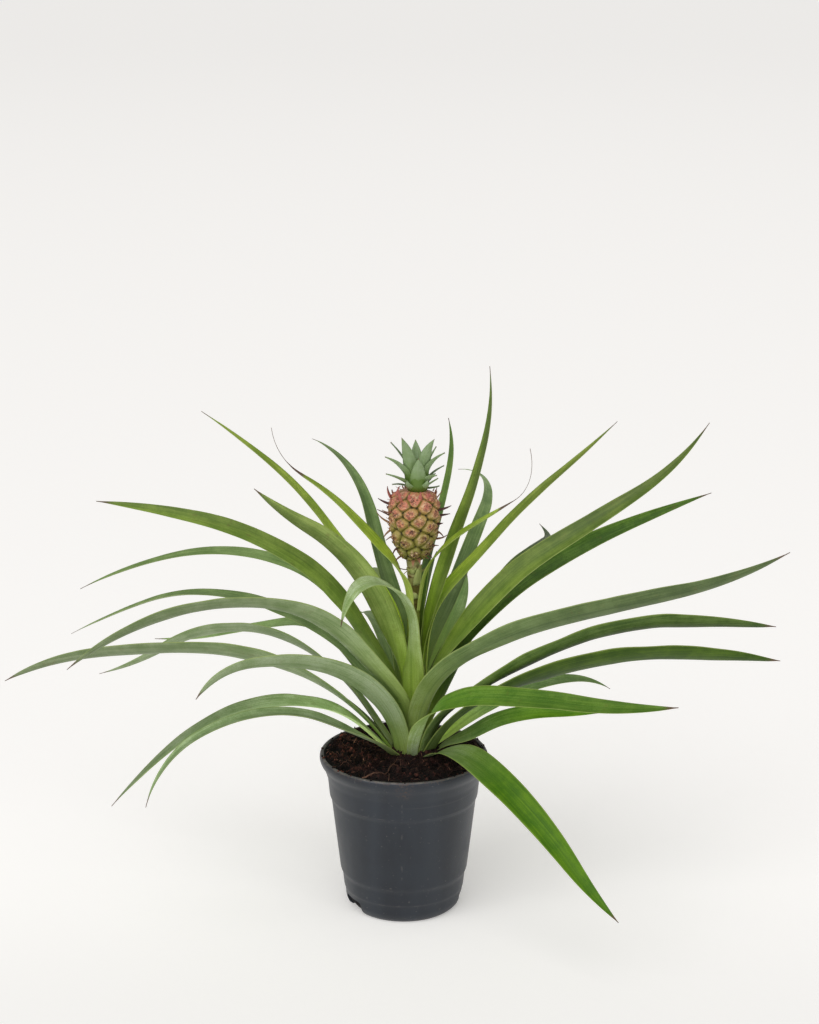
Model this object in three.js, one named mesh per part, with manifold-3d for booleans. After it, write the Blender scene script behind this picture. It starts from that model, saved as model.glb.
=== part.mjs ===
// Potted miniature pineapple: a grower's pot with soil, a rosette of arching leaves, and one small fruit
// with its crown. Millimetres. +Z is up, the origin is the centre of the pot's underside, and the front of
// the plant faces -Y.

import * as THREE from "three";
import { mergeVertices } from "three/addons/utils/BufferGeometryUtils.js";
import Module from "manifold-3d";

// Driving sizes of the pot
const POT_HEIGHT = 115;
const RIM_RADIUS = 60;
const RIM_INNER_RADIUS = 56.3;
const BASE_RADIUS = 37.5;
const WALL = 1.5;
const DRAIN_ANGLES = [104, 211, 357];
const DRAIN_WIDTH = 15;
const DRAIN_HEIGHT = 9;
const DRAIN_INSET = 4.5;
const POT_SEGMENTS = 44;

// Pot profiles as [radius, height]: the outside from the base up, and the rolled rim from the outside in
const POT_OUTSIDE = [
  [0, 0], [BASE_RADIUS, 0], [40.2, 2.4], [41.7, 6], [42.3, 12], [43.1, 14.6], [44.1, 24], [45.6, 28],
  [51.4, 79], [52.9, 82], [54.2, 97], [56.6, 104.5], [58.9, 108], [RIM_RADIUS, 111],
];
const RIM_ROLL = [[59.7, 113.8], [58.4, POT_HEIGHT], [57.1, 114.6], [RIM_INNER_RADIUS, 113], [55.9, 110]];

// Driving sizes of the soil and the stem, which stands a little right of the pot's middle
const PLANT_X = 7;
const GAP = 0.3;
const SOIL_TOP = 115;
const SOIL_EDGE = 112.6;
const SOIL_EDGE_RADIUS = 55.3;
const SOIL_RIM_GAP = 0.8;
const SOIL_FLAT_RADIUS = 30;
const SOIL_RINGS = [52, 46, 39, 32, 25, 18, 13.5];
const SOIL_CALM_RADIUS = 21;
const LUMP = 1.1;
const LUMP_RISE = 9;
const STEM_DEPTH = 28;
const STEM_BOTTOM = SOIL_TOP - STEM_DEPTH;
const STEM_TOP = 222;

// The stem's outside as [radius, height], and the bare stalk above it
const STEM_OUTSIDE = [
  [9.4, STEM_BOTTOM], [9.4, 118], [8.3, 130], [6.5, 145], [5.3, 160], [4.7, 175], [4.2, STEM_TOP],
];
const STALK_RADIUS = 4.1;
const STALK_RING = 0.45;
const STALK_FLARE = 0.5;
const STALK_RINGS = 6;

// Driving sizes of the fruit and its crown
const FRUIT_X = 8.4;
const FRUIT_BASE = 256;
const FRUIT_TOP = 308;
const FRUIT_RADIUS = 17.4;
const FRUIT_NECK = 7.5;
const FRUIT_WAIST = 0.56;
const FRUIT_SEGMENTS = 38;
const FRUIT_ROWS = 18;
const EYE_ROWS = 9;
const EYES_AROUND = 7;
const EYE_TOP = 305.6;
const EYE_PITCH = 5.95;
const EYE_STAGGER = 0.555;
const EYE_TURN = -88;
const EYE_HEIGHT = 2.2;
const EYE_REACH = 0.8;
const EYES_START = 9;
const EYES_END = 14;
const BRACT_THICKNESS = 0.7;
const BRACT_ROOT = 1;
const CROWN_X = 9.6;
const CROWN_FEET = [4.8, 1.6];
const CROWN_SPREAD = 12;
const CROWN_BLADE = 1;
const SMALL_STATIONS = 3;
const SMALL_TAPER = 1.6;
const SMALL_KEEL = 0.35;

// The longest dried bract tips on the fruit: [heading, height, lean from upright, curl, length, width]
const BRACTS = [
  [165, 305, 55, -70, 11, 3.6],
  [190, 296, 60, -15, 10.5, 2.4],
  [195, 282, 42, -14, 13, 2.2],
  [172, 271, 62, -100, 13, 2.6],
  [178, 266, 80, -60, 8, 2.2],
  [-4, 294.8, 80, -10, 9, 2.6],
  [8, 289, 82, -8, 8.5, 2.8],
  [-10, 287, 130, 20, 7, 3.4],
  [0, 279, 100, 110, 13, 2.4],
  [4, 270, 85, 0, 8, 2.4],
  [10, 301, 18, 0, 8, 2.6],
  [30, 299, 40, -20, 10, 2.6],
  [60, 303, 50, -40, 9, 2.4],
  [85, 292, 70, -30, 9, 2.4],
  [110, 301, 55, -50, 10, 2.6],
  [130, 287, 75, -20, 9, 2.4],
  [70, 279, 85, -60, 9, 2.4],
  [105, 272, 80, -30, 8, 2.2],
  [145, 276, 70, -80, 10, 2.4],
];

// The crown's core as [radius, height above its underside], and its leaves:
// [heading, height of the foot, lean from upright, curl, length, width]
const CROWN_CORE = [[0, 0], [6.8, 0], [7.4, 4], [7, 10], [6.6, 13], [3, 20], [0, 22]];
const CROWN_LEAVES = [
  [205, 5, 6, 18, 34.3, 12],
  [100, 10, 9, 5, 24.1, 10.5],
  [-20, 5, 6, 20, 33.5, 12],
  [-80, 2, 12, 8, 22, 12],
  [165, 8, 31, 6, 29.6, 6],
  [20, 8, 18, 20, 24.3, 7],
  [185, 6, 23, 50, 26.9, 7],
  [175, 4, 35, 20, 20.6, 7],
  [-5, 6, 13, 50, 26.1, 8],
  [10, 4, 36, 30, 18.9, 6],
  [190, 2.4, 36, 50, 20.2, 6.5],
  [-12, 2.4, 42, 20, 13.3, 6],
  [-30, 2, 46, 20, 14.7, 6.5],
  [5, 1.6, 82, 10, 10.8, 5],
  [215, 2.2, 51, 10, 12.4, 8],
  [235, 2, 68, 10, 10.9, 7],
  [-48, 3, 21, 12, 21.8, 9],
  [225, 3, 24, 10, 18.5, 9],
  [140, 5, 30, 30, 25, 8.5],
  [62, 6, 26, 32, 25, 8.5],
  [112, 3, 42, 36, 22, 8],
  [82, 2, 48, 32, 19, 7.5],
  [48, 2.2, 56, 28, 16, 7],
  [150, 2.2, 56, 28, 16, 7],
];

// Driving sizes that all blades share
const BLADE = 0.8;
const BLADE_STATIONS = 14;
const CHANNEL = 28;
const WIDEST_CLASP = 42;
const TIP_WIDTH = 1.4;
const FOOT_SHARE = 0.8;
const OPEN_BY = 0.2;
const ROLL_BY = 0.4;

// Where along a leaf its climbs and headings are given, as shares of its length
const CLIMB_AT = [0, 0.12, 0.3, 0.5, 0.75, 1];
const HEADING_AT = [0, 0.3, 1];

// Each leaf: its name, the height of its foot, the radius that the foot clasps, its headings from +X in
// degrees, its climbs above the level in degrees, its length, its width, the roll of its outer part in
// degrees, and the power of its taper, which is higher on a leaf that stays wide towards its point.
const LEAVES = [
  ["leaf_left_01", 172, 5.3, [169, 170, 167], [88, 78, 46, 55, 39, 31], 244, 13.5, -16, 2.4],
  ["leaf_left_02", 154, 6.4, [194, 194, 199], [89, 78, 71, 56, 33, 44], 204, 18, 70, 3.5],
  ["leaf_left_03", 225, 4.7, [231, 171, 194], [89, 65, 47, 47, 34, 85], 166, 14, -18, 2.1],
  ["leaf_left_04", 173.4, 7.9, [119, 118, 120], [80, 62, 52, 63, 18, -3], 219, 16, 9, 2],
  ["leaf_left_05", 142, 7.5, [171, 185, 189], [83, 59, 58, 34, 16, 9], 286, 17.5, -36, 4.1],
  ["leaf_left_06", 132, 8.8, [162, 168, 175], [82, 62, 56, 15, -14, -29], 306, 14, -19, 2.9],
  ["leaf_left_07", 126, 9.6, [158, 160, 151], [68, 54, 26, 5, -24, -31], 320, 15.5, -8, 2.7],
  ["leaf_left_08", 130.4, 8.8, [242, 202, 166], [83, 50, 51, 11, -20, -42], 315, 20.5, 42, 3.9],
  ["leaf_left_09", 120, 11.4, [145, 151, 149], [70, 52, 44, -16, -19, -8], 256, 14, -21, 3.1],
  ["leaf_left_10", 117.8, 14.7, [175, 156, 145], [58, 55, 27, -7, -34, -21], 295, 16.5, 44, 2.6],
  ["leaf_left_11", 117, 16, [188, 177, 155], [58, 44, 22, -2, -12, -32], 322, 19.5, 47, 4],
  ["leaf_left_12", 116, 14.5, [234, 209, 179], [81, 67, 46, 21, -3, -58], 202, 20.5, 46, 4.5],
  ["leaf_left_13", 116.2, 17.4, [198, 203, 202], [47, 46, 18, -6, -34, -45], 238, 20.5, -12, 2],
  ["leaf_left_14", 116.2, 19.2, [228, 212, 218], [45, 32, 31, 9, -17, -74], 238, 17.5, -11, 2],
  ["leaf_left_15", 140, 7.7, [262, 243, 250], [89, 87, 72, 42, 7, -36], 216, 16, 7, 2.4],
  ["leaf_right_01", 178, 5.2, [66, 63, 97], [87, 81, 64, 41, 22, 19], 221, 11, -32, 2.2],
  ["leaf_right_02", 179.4, 6.8, [10, 16, 11], [89, 78, 72, 69, 77, 97], 220, 15, 28, 2],
  ["leaf_right_03", 170, 9.4, [53, 66, 113], [70, 42, 40, 7, -2, -15], 306, 12.5, 26, 2],
  ["leaf_right_04", 221.8, 5.7, [-55, -33, -45], [80, 76, 45, 35, 34, 111], 172, 10.5, 28, 2.4],
  ["leaf_right_05", 172, 8.8, [22, 17, 17], [89, 84, 43, 46, 37, 41], 234, 14.5, 12, 2.5],
  ["leaf_right_06", 130, 8.7, [27, 49, 100], [59, 60, 46, 3, -13, -2], 312, 14, -9, 2.2],
  ["leaf_right_07", 148, 7.4, [-12, 2, -17], [85, 58, 51, 34, 36, 60], 295, 20, 44, 2.5],
  ["leaf_right_08", 135.8, 8.2, [18, 16, 12], [89, 61, 45, 28, 19, 16], 279, 18.5, 55, 2.6],
  ["leaf_right_09", 130, 10.2, [-81, -9, -33], [71, 58, 30, 18, 20, 35], 331, 20.5, -59, 3.1],
  ["leaf_right_10", 116, 13.4, [-39, 9, 23], [87, 44, 28, 14, -7, -11], 300, 22, -50, 5],
  ["leaf_right_11", 115.6, 14.9, [-35, 11, 15], [68, 45, 18, 7, -7, -10], 285, 23.5, -47, 6],
  ["leaf_right_12", 117.6, 14.4, [22, 32, 31], [25, 33, 18, 6, -8, -37], 165, 13, 39, 2.8],
  ["leaf_right_13", 116, 16.3, [-93, -48, -12], [46, 54, 34, 10, 2, 9], 261, 19, 31, 4.9],
  ["leaf_right_14", 116.2, 16.5, [-17, -14, -17], [49, 22, 37, 18, 4, 7], 128, 15.5, 36, 3.2],
  ["leaf_right_15", 116.3, 18.6, [-58, -48, -39], [37, 20, -17, -29, -41, -32], 209, 21.5, 33, 3.2],
  ["leaf_right_16", 154, 12.4, [54, 63, 78], [66, 46, 41, 36, 23, 38], 110, 17.5, 6, 3.9],
  ["leaf_back_01", 130, 10, [106, 102, 100], [84, 66, 48, 22, 0, -20], 190, 17, 0, 2.4],
  ["leaf_back_02", 119, 9.9, [112, 106, 104], [80, 62, 38, 14, -10, -30], 180, 18, 0, 2.4],
  ["leaf_back_03", 118, 11, [76, 75, 78], [70, 50, 30, 8, -14, -34], 185, 18, 0, 2.4],
];

const rad = THREE.MathUtils.degToRad;
const clamp = THREE.MathUtils.clamp;
const lerp = THREE.MathUtils.lerp;
const smooth = (x) => THREE.MathUtils.smoothstep(x, 0, 1);
const wasm = await Module();
wasm.setup();

// Materials, one for each kind of surface
function material(name, color, roughness) {
  const made = new THREE.MeshStandardMaterial({ color, roughness, metalness: 0 });
  made.name = name;
  return made;
}

const MATERIALS = {
  pot: material("pot_plastic", 0x4a5055, 0.6),
  soil: material("peat_soil", 0x2a1d17, 0.95),
  leaf: material("leaf_green", 0x6f8f3a, 0.5),
  stem: material("stem_green", 0x9a9a55, 0.7),
  fruit: material("fruit_skin", 0xb0704f, 0.6),
  crown: material("crown_green", 0x6f9a72, 0.55),
};

// The value at place x of straight pieces through the points (xs, ys)
function between(x, xs, ys) {
  let i = 0;
  while (i < xs.length - 2 && x > xs[i + 1]) i += 1;
  const share = clamp((x - xs[i]) / (xs[i + 1] - xs[i]), 0, 1);
  return lerp(ys[i], ys[i + 1], share);
}

// A cap on a blade's ring, whose lower face and upper face have the same points side by side
function bladeCap(index, first, count, flip) {
  for (let j = 0; j < count / 2 - 1; j += 1) {
    const quad = [first + j, first + j + 1, first + count - 2 - j, first + count - 1 - j];
    const [a, b, c, d] = flip ? quad.reverse() : quad;
    index.push(a, b, c, a, c, d);
  }
}

// A closed blade through rings that list the lower face's points and then the upper face's in reverse.
// Both faces are split along the same diagonals, so that a twisted blade keeps its thickness.
function bladeGeometry(rings) {
  const count = rings[0].length;
  const index = [];
  for (let i = 0; i < rings.length - 1; i += 1) {
    for (let j = 0; j < count; j += 1) {
      const a = i * count + j;
      const b = i * count + ((j + 1) % count);
      if (j < count / 2 - 1) index.push(a, a + count, b, b, a + count, b + count);
      else index.push(a, b + count, b, a, a + count, b + count);
    }
  }
  bladeCap(index, 0, count, false);
  bladeCap(index, (rings.length - 1) * count, count, true);
  return geometryOf(rings.flat(), index);
}

function geometryOf(points, index) {
  const geometry = new THREE.BufferGeometry();
  const flat = points.flatMap((p) => [p.x, p.y, p.z]);
  geometry.setAttribute("position", new THREE.Float32BufferAttribute(flat, 3));
  geometry.setIndex(index);
  return geometry;
}

function mesh(name, geometry, surface) {
  geometry.deleteAttribute("uv");
  geometry.computeVertexNormals();
  const made = new THREE.Mesh(geometry, surface);
  made.name = name;
  return made;
}

// Booleans
function solid(geometry) {
  const bare = geometry.clone();
  bare.deleteAttribute("normal");
  bare.deleteAttribute("uv");
  const welded = mergeVertices(bare, 1e-4);
  const position = welded.attributes.position;
  const made = new wasm.Mesh({
    numProp: 3,
    vertProperties: new Float32Array(position.array),
    triVerts: new Uint32Array(welded.index.array),
  });
  return new wasm.Manifold(made);
}

function fromSolid(body) {
  const made = body.getMesh();
  const geometry = new THREE.BufferGeometry();
  const positions = new Float32Array(made.vertProperties);
  geometry.setAttribute("position", new THREE.BufferAttribute(positions, 3));
  geometry.setIndex(Array.from(made.triVerts));
  return geometry;
}

// A solid of turned rings: the profile is a list of [radius, height] from the axis out and back to the axis
function turned(profile, segments) {
  const points = profile.map(([r, z]) => new THREE.Vector2(r, z));
  const geometry = new THREE.LatheGeometry(points, segments);
  geometry.rotateX(Math.PI / 2);
  return geometry;
}

// Pot: tapered wall with two moulded steps, a rolled rim, and drain cut-outs at the bottom corner
function potInside(z) {
  const heights = POT_OUTSIDE.slice(1).map((p) => p[1]);
  const radii = POT_OUTSIDE.slice(1).map((p) => p[0]);
  return between(z, heights, radii) - WALL;
}

function pot() {
  const inside = [104.5, 97, 82, 79, 28, 24, 14.6, 6].map((z) => [potInside(z), z]);
  const floor = [[BASE_RADIUS, WALL], [0, WALL]];
  let body = solid(turned([...POT_OUTSIDE, ...RIM_ROLL, ...inside, ...floor], POT_SEGMENTS));
  const inner = BASE_RADIUS - DRAIN_INSET;
  for (const angle of DRAIN_ANGLES) {
    const notch = new THREE.BoxGeometry(RIM_RADIUS - inner, DRAIN_WIDTH, DRAIN_HEIGHT + WALL);
    notch.translate((RIM_RADIUS + inner) / 2, 0, (DRAIN_HEIGHT - WALL) / 2);
    notch.rotateZ(rad(angle));
    body = body.subtract(solid(notch));
  }
  return mesh("pot", fromSolid(body), MATERIALS.pot);
}

// Stem: thick at the bottom, and thinner where the inner leaves clasp it
function stem() {
  const geometry = turned([[0, STEM_BOTTOM], ...STEM_OUTSIDE, [0, STEM_TOP]], 20);
  geometry.translate(PLANT_X, 0, 0);
  return mesh("stem", geometry, MATERIALS.stem);
}

// Soil: fills the pot up to a lumpy top, which is calm round the stem's plain hole
function lump(x, y) {
  const a = Math.sin(x * 0.31 + 1.3) * Math.cos(y * 0.27 - 0.4);
  const b = Math.sin(x * 0.63 - y * 0.52) * Math.sin(y * 0.71 + x * 0.19 + 2);
  return LUMP * (a + 0.6 * b);
}

function soil() {
  const low = WALL + GAP;
  const hole = STEM_OUTSIDE[0][0] + GAP;
  const holeBottom = STEM_BOTTOM - GAP;
  const around = POT_SEGMENTS;
  const wall = [6, 14.6, 24, 28, 79, 82, 97].map((z) => [potInside(z) - GAP, z]);
  const underRim = [RIM_INNER_RADIUS - SOIL_RIM_GAP, 109];
  const outer = [[BASE_RADIUS - SOIL_RIM_GAP, low], ...wall, underRim, [SOIL_EDGE_RADIUS, SOIL_EDGE]];
  const top = SOIL_RINGS.map((r) => [r, SOIL_TOP]);
  const profile = [[0, low], ...outer, ...top, [hole, SOIL_TOP], [hole, holeBottom], [0, holeBottom]];
  const firstTop = 1 + outer.length;
  const lastTop = firstTop + top.length;
  const points = [new THREE.Vector3(0, 0, low)];
  const inner = profile.slice(1, -1);
  inner.forEach(([r, z], ring) => {
    const row = ring + 1;
    const isTop = row >= firstTop && row < lastTop;
    const inward = smooth((SOIL_RINGS[0] - r) / (SOIL_RINGS[0] - SOIL_RINGS[5]));
    const shift = row < firstTop ? 0 : PLANT_X * inward;
    for (let k = 0; k < around; k += 1) {
      const angle = (2 * Math.PI * k) / around;
      const x = r * Math.cos(angle) + shift;
      const y = r * Math.sin(angle);
      const far = Math.hypot(x - PLANT_X, y);
      const outward = smooth((r - SOIL_FLAT_RADIUS) / (SOIL_EDGE_RADIUS - SOIL_FLAT_RADIUS));
      const dome = isTop ? lerp(SOIL_TOP, SOIL_EDGE, outward) : z;
      const rough = isTop ? lump(x, y) * smooth((far - SOIL_CALM_RADIUS) / LUMP_RISE) : 0;
      points.push(new THREE.Vector3(x, y, dome + rough));
    }
  });
  points.push(new THREE.Vector3(PLANT_X, 0, holeBottom));
  const index = [];
  const last = points.length - 1;
  for (let k = 0; k < around; k += 1) {
    const next = (k + 1) % around;
    index.push(0, 1 + next, 1 + k);
    for (let ring = 0; ring < inner.length - 1; ring += 1) {
      const a = 1 + ring * around + k;
      const b = 1 + ring * around + next;
      index.push(a, b, b + around, a, b + around, a + around);
    }
    const rim = 1 + (inner.length - 1) * around;
    index.push(last, rim + k, rim + next);
  }
  return mesh("soil", geometryOf(points, index), MATERIALS.soil);
}

// Leaf: a channelled blade whose foot clasps the stem, and whose width tapers to a blunt point
function leafPath([, foot, clasp, heading, climb, length]) {
  const steps = 120;
  const start = rad(heading[0]);
  const point = new THREE.Vector3(PLANT_X + clasp * Math.cos(start), clasp * Math.sin(start), foot);
  const frames = [];
  for (let i = 0; i <= steps; i += 1) {
    const s = i / steps;
    const turn = rad(between(s, HEADING_AT, heading));
    const rise = rad(between(s, CLIMB_AT, climb));
    const tangent = new THREE.Vector3(
      Math.cos(turn) * Math.cos(rise), Math.sin(turn) * Math.cos(rise), Math.sin(rise));
    const side = new THREE.Vector3(-Math.sin(turn), Math.cos(turn), 0);
    frames.push({ s, point: point.clone(), tangent, side });
    point.addScaledVector(tangent, length / steps);
  }
  return frames;
}

function leafRing(frame, leaf) {
  const [, , clasp, , , , width, roll, taper] = leaf;
  const { s, point, tangent, side } = frame;
  const claspHalf = Math.min(rad(WIDEST_CLASP), (FOOT_SHARE * width) / (2 * clasp));
  const open = smooth(s / OPEN_BY);
  const full = lerp(2 * claspHalf * clasp, width, open) * (1 - s ** taper);
  const half = lerp(claspHalf, rad(CHANNEL), open);
  const radius = Math.max(full, TIP_WIDTH) / (2 * half);
  const turn = rad(roll) * smooth(s / ROLL_BY);
  const upward = new THREE.Vector3().crossVectors(tangent, side).normalize();
  const across = side.clone().multiplyScalar(Math.cos(turn)).addScaledVector(upward, Math.sin(turn));
  const face = upward.clone().multiplyScalar(Math.cos(turn)).addScaledVector(side, -Math.sin(turn));
  const place = (u, r) => point.clone()
    .addScaledVector(across, r * Math.sin(u * half))
    .addScaledVector(face, radius - r * Math.cos(u * half));
  const shares = [-1, -1 / 3, 1 / 3, 1];
  const upper = shares.map((u) => place(u, radius));
  const lower = shares.map((u) => place(u, radius + BLADE)).reverse();
  return [...lower, ...upper];
}

function leafMesh(leaf) {
  const frames = leafPath(leaf);
  const rings = [];
  for (let i = 0; i <= BLADE_STATIONS; i += 1) {
    const share = (i / BLADE_STATIONS) ** 1.2;
    rings.push(leafRing(frames[Math.round(share * (frames.length - 1))], leaf));
  }
  return mesh(leaf[0], bladeGeometry(rings), MATERIALS.leaf);
}

// Peduncle: the bare stalk between the leaves and the fruit, ringed by old bract scars
function peduncle() {
  const low = STEM_TOP + GAP;
  const high = FRUIT_BASE - GAP;
  const profile = [[0, low]];
  for (let i = 0; i <= STALK_RINGS; i += 1) {
    const share = i / STALK_RINGS;
    const ring = STALK_RING * Math.cos(i * Math.PI);
    profile.push([STALK_RADIUS + ring + STALK_FLARE * smooth(2 * share - 1), lerp(low, high, share)]);
  }
  profile.push([0, high]);
  const geometry = turned(profile, 16);
  geometry.translate(PLANT_X, 0, 0);
  return mesh("peduncle", geometry, MATERIALS.stem);
}

// Fruit: a barrel, widest at its waist, whose eyes are domes on a staggered spiral lattice
function barrel(t) {
  if (t < FRUIT_WAIST) {
    return FRUIT_RADIUS * Math.sqrt(1 - ((FRUIT_WAIST - t) / FRUIT_WAIST) ** 2.8);
  }
  const over = (t - FRUIT_WAIST) / (1 - FRUIT_WAIST);
  return lerp(FRUIT_NECK, FRUIT_RADIUS, (1 - over ** 2.4) ** 0.55);
}

// How far an eye stands out: a dome over each place of the lattice, which fades before the next ones.
// The eyes of a row touch at 1 across, and the rows at 1 along.
function eyeDome(angle, z) {
  let best = 0;
  for (let row = 0; row < EYE_ROWS; row += 1) {
    const place = ((angle - rad(EYE_TURN)) / (2 * Math.PI)) * EYES_AROUND - EYE_STAGGER * row;
    const across = 2 * (place - Math.round(place));
    const along = (z - EYE_TOP + EYE_PITCH * row) / EYE_PITCH;
    best = Math.max(best, 1 - (across ** 2 + along ** 2) / EYE_REACH);
  }
  return EYE_HEIGHT * Math.sqrt(best);
}

function fruitPoint(angle, t) {
  const z = lerp(FRUIT_BASE, FRUIT_TOP, t);
  const r = barrel(t) + eyeDome(angle, z) * smooth(t * EYES_START) * smooth((1 - t) * EYES_END);
  return new THREE.Vector3(FRUIT_X + r * Math.cos(angle), r * Math.sin(angle), z);
}

function fruitBody() {
  const around = FRUIT_SEGMENTS;
  const rows = FRUIT_ROWS;
  const points = [new THREE.Vector3(FRUIT_X, 0, FRUIT_BASE)];
  for (let i = 1; i <= rows; i += 1) {
    for (let k = 0; k < around; k += 1) points.push(fruitPoint((2 * Math.PI * k) / around, i / rows));
  }
  points.push(new THREE.Vector3(FRUIT_X, 0, FRUIT_TOP));
  const last = points.length - 1;
  const index = [];
  for (let k = 0; k < around; k += 1) {
    const next = (k + 1) % around;
    index.push(0, 1 + next, 1 + k);
    for (let i = 0; i < rows - 1; i += 1) {
      const a = 1 + i * around + k;
      const b = 1 + i * around + next;
      index.push(a, b, b + around, a, b + around, a + around);
    }
    const rim = 1 + (rows - 1) * around;
    index.push(last, rim + k, rim + next);
  }
  return solid(geometryOf(points, index));
}

// A small tapering blade from a point, which starts at one lean from upright and curls to another
function blade({ from, heading, lean, curl, length, width, thick }) {
  const across = new THREE.Vector3(-Math.sin(heading), Math.cos(heading), 0);
  const point = from.clone();
  const rings = [];
  for (let i = 0; i <= SMALL_STATIONS; i += 1) {
    const s = i / SMALL_STATIONS;
    const angle = lean + curl * s;
    const tangent = new THREE.Vector3(
      Math.sin(angle) * Math.cos(heading), Math.sin(angle) * Math.sin(heading), Math.cos(angle));
    const out = new THREE.Vector3().crossVectors(across, tangent);
    const half = Math.max((width / 2) * (1 - s ** SMALL_TAPER), thick * 0.6);
    const at = (u, v) => point.clone().addScaledVector(across, u * half).addScaledVector(out, v * thick);
    const keel = SMALL_KEEL * half;
    rings.push([
      at(-1, -0.5), at(0, -0.5).addScaledVector(out, keel), at(1, -0.5),
      at(1, 0.5), at(0, 0.5).addScaledVector(out, keel), at(-1, 0.5),
    ]);
    point.addScaledVector(tangent, length / SMALL_STATIONS);
  }
  return solid(bladeGeometry(rings));
}

// The dried bract tips that stand out of the grooves between the eyes
function bracts() {
  return BRACTS.map(([heading, z, lean, curl, length, width]) => {
    const angle = rad(heading);
    const r = barrel((z - FRUIT_BASE) / (FRUIT_TOP - FRUIT_BASE)) - BRACT_ROOT;
    return blade({
      from: new THREE.Vector3(FRUIT_X + r * Math.cos(angle), r * Math.sin(angle), z),
      heading: angle,
      lean: rad(lean),
      curl: rad(curl),
      length,
      width,
      thick: BRACT_THICKNESS,
    });
  });
}

function fruit() {
  const body = wasm.Manifold.union([fruitBody(), ...bracts()]);
  return mesh("fruit", fromSolid(body), MATERIALS.fruit);
}

// Crown: pointed leaves round a short core, whose feet lie further in the higher they stand
function crown() {
  const low = FRUIT_TOP + GAP;
  const core = turned(CROWN_CORE, 16);
  core.translate(CROWN_X, 0, low);
  const parts = [solid(core)];
  for (const [heading, height, lean, curl, length, width] of CROWN_LEAVES) {
    const angle = rad(heading);
    const r = lerp(...CROWN_FEET, height / CROWN_SPREAD);
    parts.push(blade({
      from: new THREE.Vector3(CROWN_X + r * Math.cos(angle), r * Math.sin(angle), low + height),
      heading: angle,
      lean: rad(lean),
      curl: rad(curl),
      length,
      width,
      thick: CROWN_BLADE,
    }));
  }
  return mesh("crown", fromSolid(wasm.Manifold.union(parts)), MATERIALS.crown);
}

const plant = new THREE.Group();
plant.name = "potted_pineapple";
plant.add(pot(), soil(), stem(), peduncle(), fruit(), crown());
for (const leaf of LEAVES) plant.add(leafMesh(leaf));

export default plant;
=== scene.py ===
"""Potted miniature pineapple: finer leaves, fruit, crown, soil and pot, in place of the plain solids of its frame.

Sizes in the classes and tables are millimetres, as for a maker's drawing, and meshes are in metres. +Z is up and the
front of the plant faces -Y. Every form is a surface worked out as whole arrays from a formula.
"""

import logging
import math
from collections.abc import Iterable, Sequence
from dataclasses import dataclass, field
from enum import Enum
from functools import partial, reduce

import bpy
import numpy as np
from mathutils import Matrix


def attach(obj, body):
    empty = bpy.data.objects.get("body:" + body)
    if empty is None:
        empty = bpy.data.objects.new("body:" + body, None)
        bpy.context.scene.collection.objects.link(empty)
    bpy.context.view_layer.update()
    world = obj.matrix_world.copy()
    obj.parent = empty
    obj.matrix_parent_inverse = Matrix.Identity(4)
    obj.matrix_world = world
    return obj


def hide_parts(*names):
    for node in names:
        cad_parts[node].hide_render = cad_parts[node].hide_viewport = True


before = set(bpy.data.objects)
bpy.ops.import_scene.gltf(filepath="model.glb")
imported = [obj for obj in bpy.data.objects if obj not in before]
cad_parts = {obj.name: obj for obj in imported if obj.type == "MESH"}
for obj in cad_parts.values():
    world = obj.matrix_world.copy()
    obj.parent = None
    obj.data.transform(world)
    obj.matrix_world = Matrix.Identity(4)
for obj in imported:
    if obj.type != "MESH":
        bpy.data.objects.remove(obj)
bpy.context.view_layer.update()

LOG = logging.getLogger("potted_pineapple")
MM = 0.001
BODY = "root"
Colour = tuple[float, float, float, float]
Rows = tuple[tuple[float, ...], ...]
Numbers = np.ndarray | float
Socket, Node, Tree = bpy.types.NodeSocket, bpy.types.Node, bpy.types.NodeTree
Material, Item = bpy.types.Material, bpy.types.Object


def srgb(red: int, green: int, blue: int) -> Colour:
    """A colour from the 0 to 255 values of a paint chart.

    Args:
        red: Red, 0 to 255.
        green: Green, 0 to 255.
        blue: Blue, 0 to 255.

    Returns:
        The linear colour that a shader takes, with alpha 1.
    """
    parts = [c / 255 for c in (red, green, blue)]
    linear = [c / 12.92 if c <= 0.04045 else ((c + 0.055) / 1.055) ** 2.4 for c in parts]
    return (linear[0], linear[1], linear[2], 1.0)


def held(x: Numbers) -> np.ndarray:
    """The value x held between 0 and 1."""
    return np.clip(x, 0.0, 1.0)


def smooth(x: Numbers) -> np.ndarray:
    """The S curve 3t² - 2t³ of x held between 0 and 1."""
    t = held(x)
    return t * t * (3.0 - 2.0 * t)


def blend(a: Numbers, b: Numbers, share: Numbers) -> np.ndarray:
    """The value that lies the given share of the way from a to b."""
    return np.asarray(a) * (1.0 - np.asarray(share)) + np.asarray(b) * np.asarray(share)


def even_angles(count: int) -> np.ndarray:
    """Angles of that many points, spread evenly round a circle."""
    return np.arange(count) * 2.0 * np.pi / count


def round_points(x: float, r: Numbers, angle: np.ndarray, z: Numbers) -> np.ndarray:
    """Points round an upright axis at x: x + r cos(angle), r sin(angle) and z, from arrays that fit one another."""
    return np.stack(np.broadcast_arrays(x + r * np.cos(angle), r * np.sin(angle), z), axis=-1)


def stand(name: str, data: bpy.types.ID) -> Item:
    """Puts a new object in the scene.

    Args:
        name: The object's name.
        data: Its mesh, light or camera.

    Returns:
        The object.
    """
    made = bpy.data.objects.new(name, data)
    bpy.context.scene.collection.objects.link(made)
    return made


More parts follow.
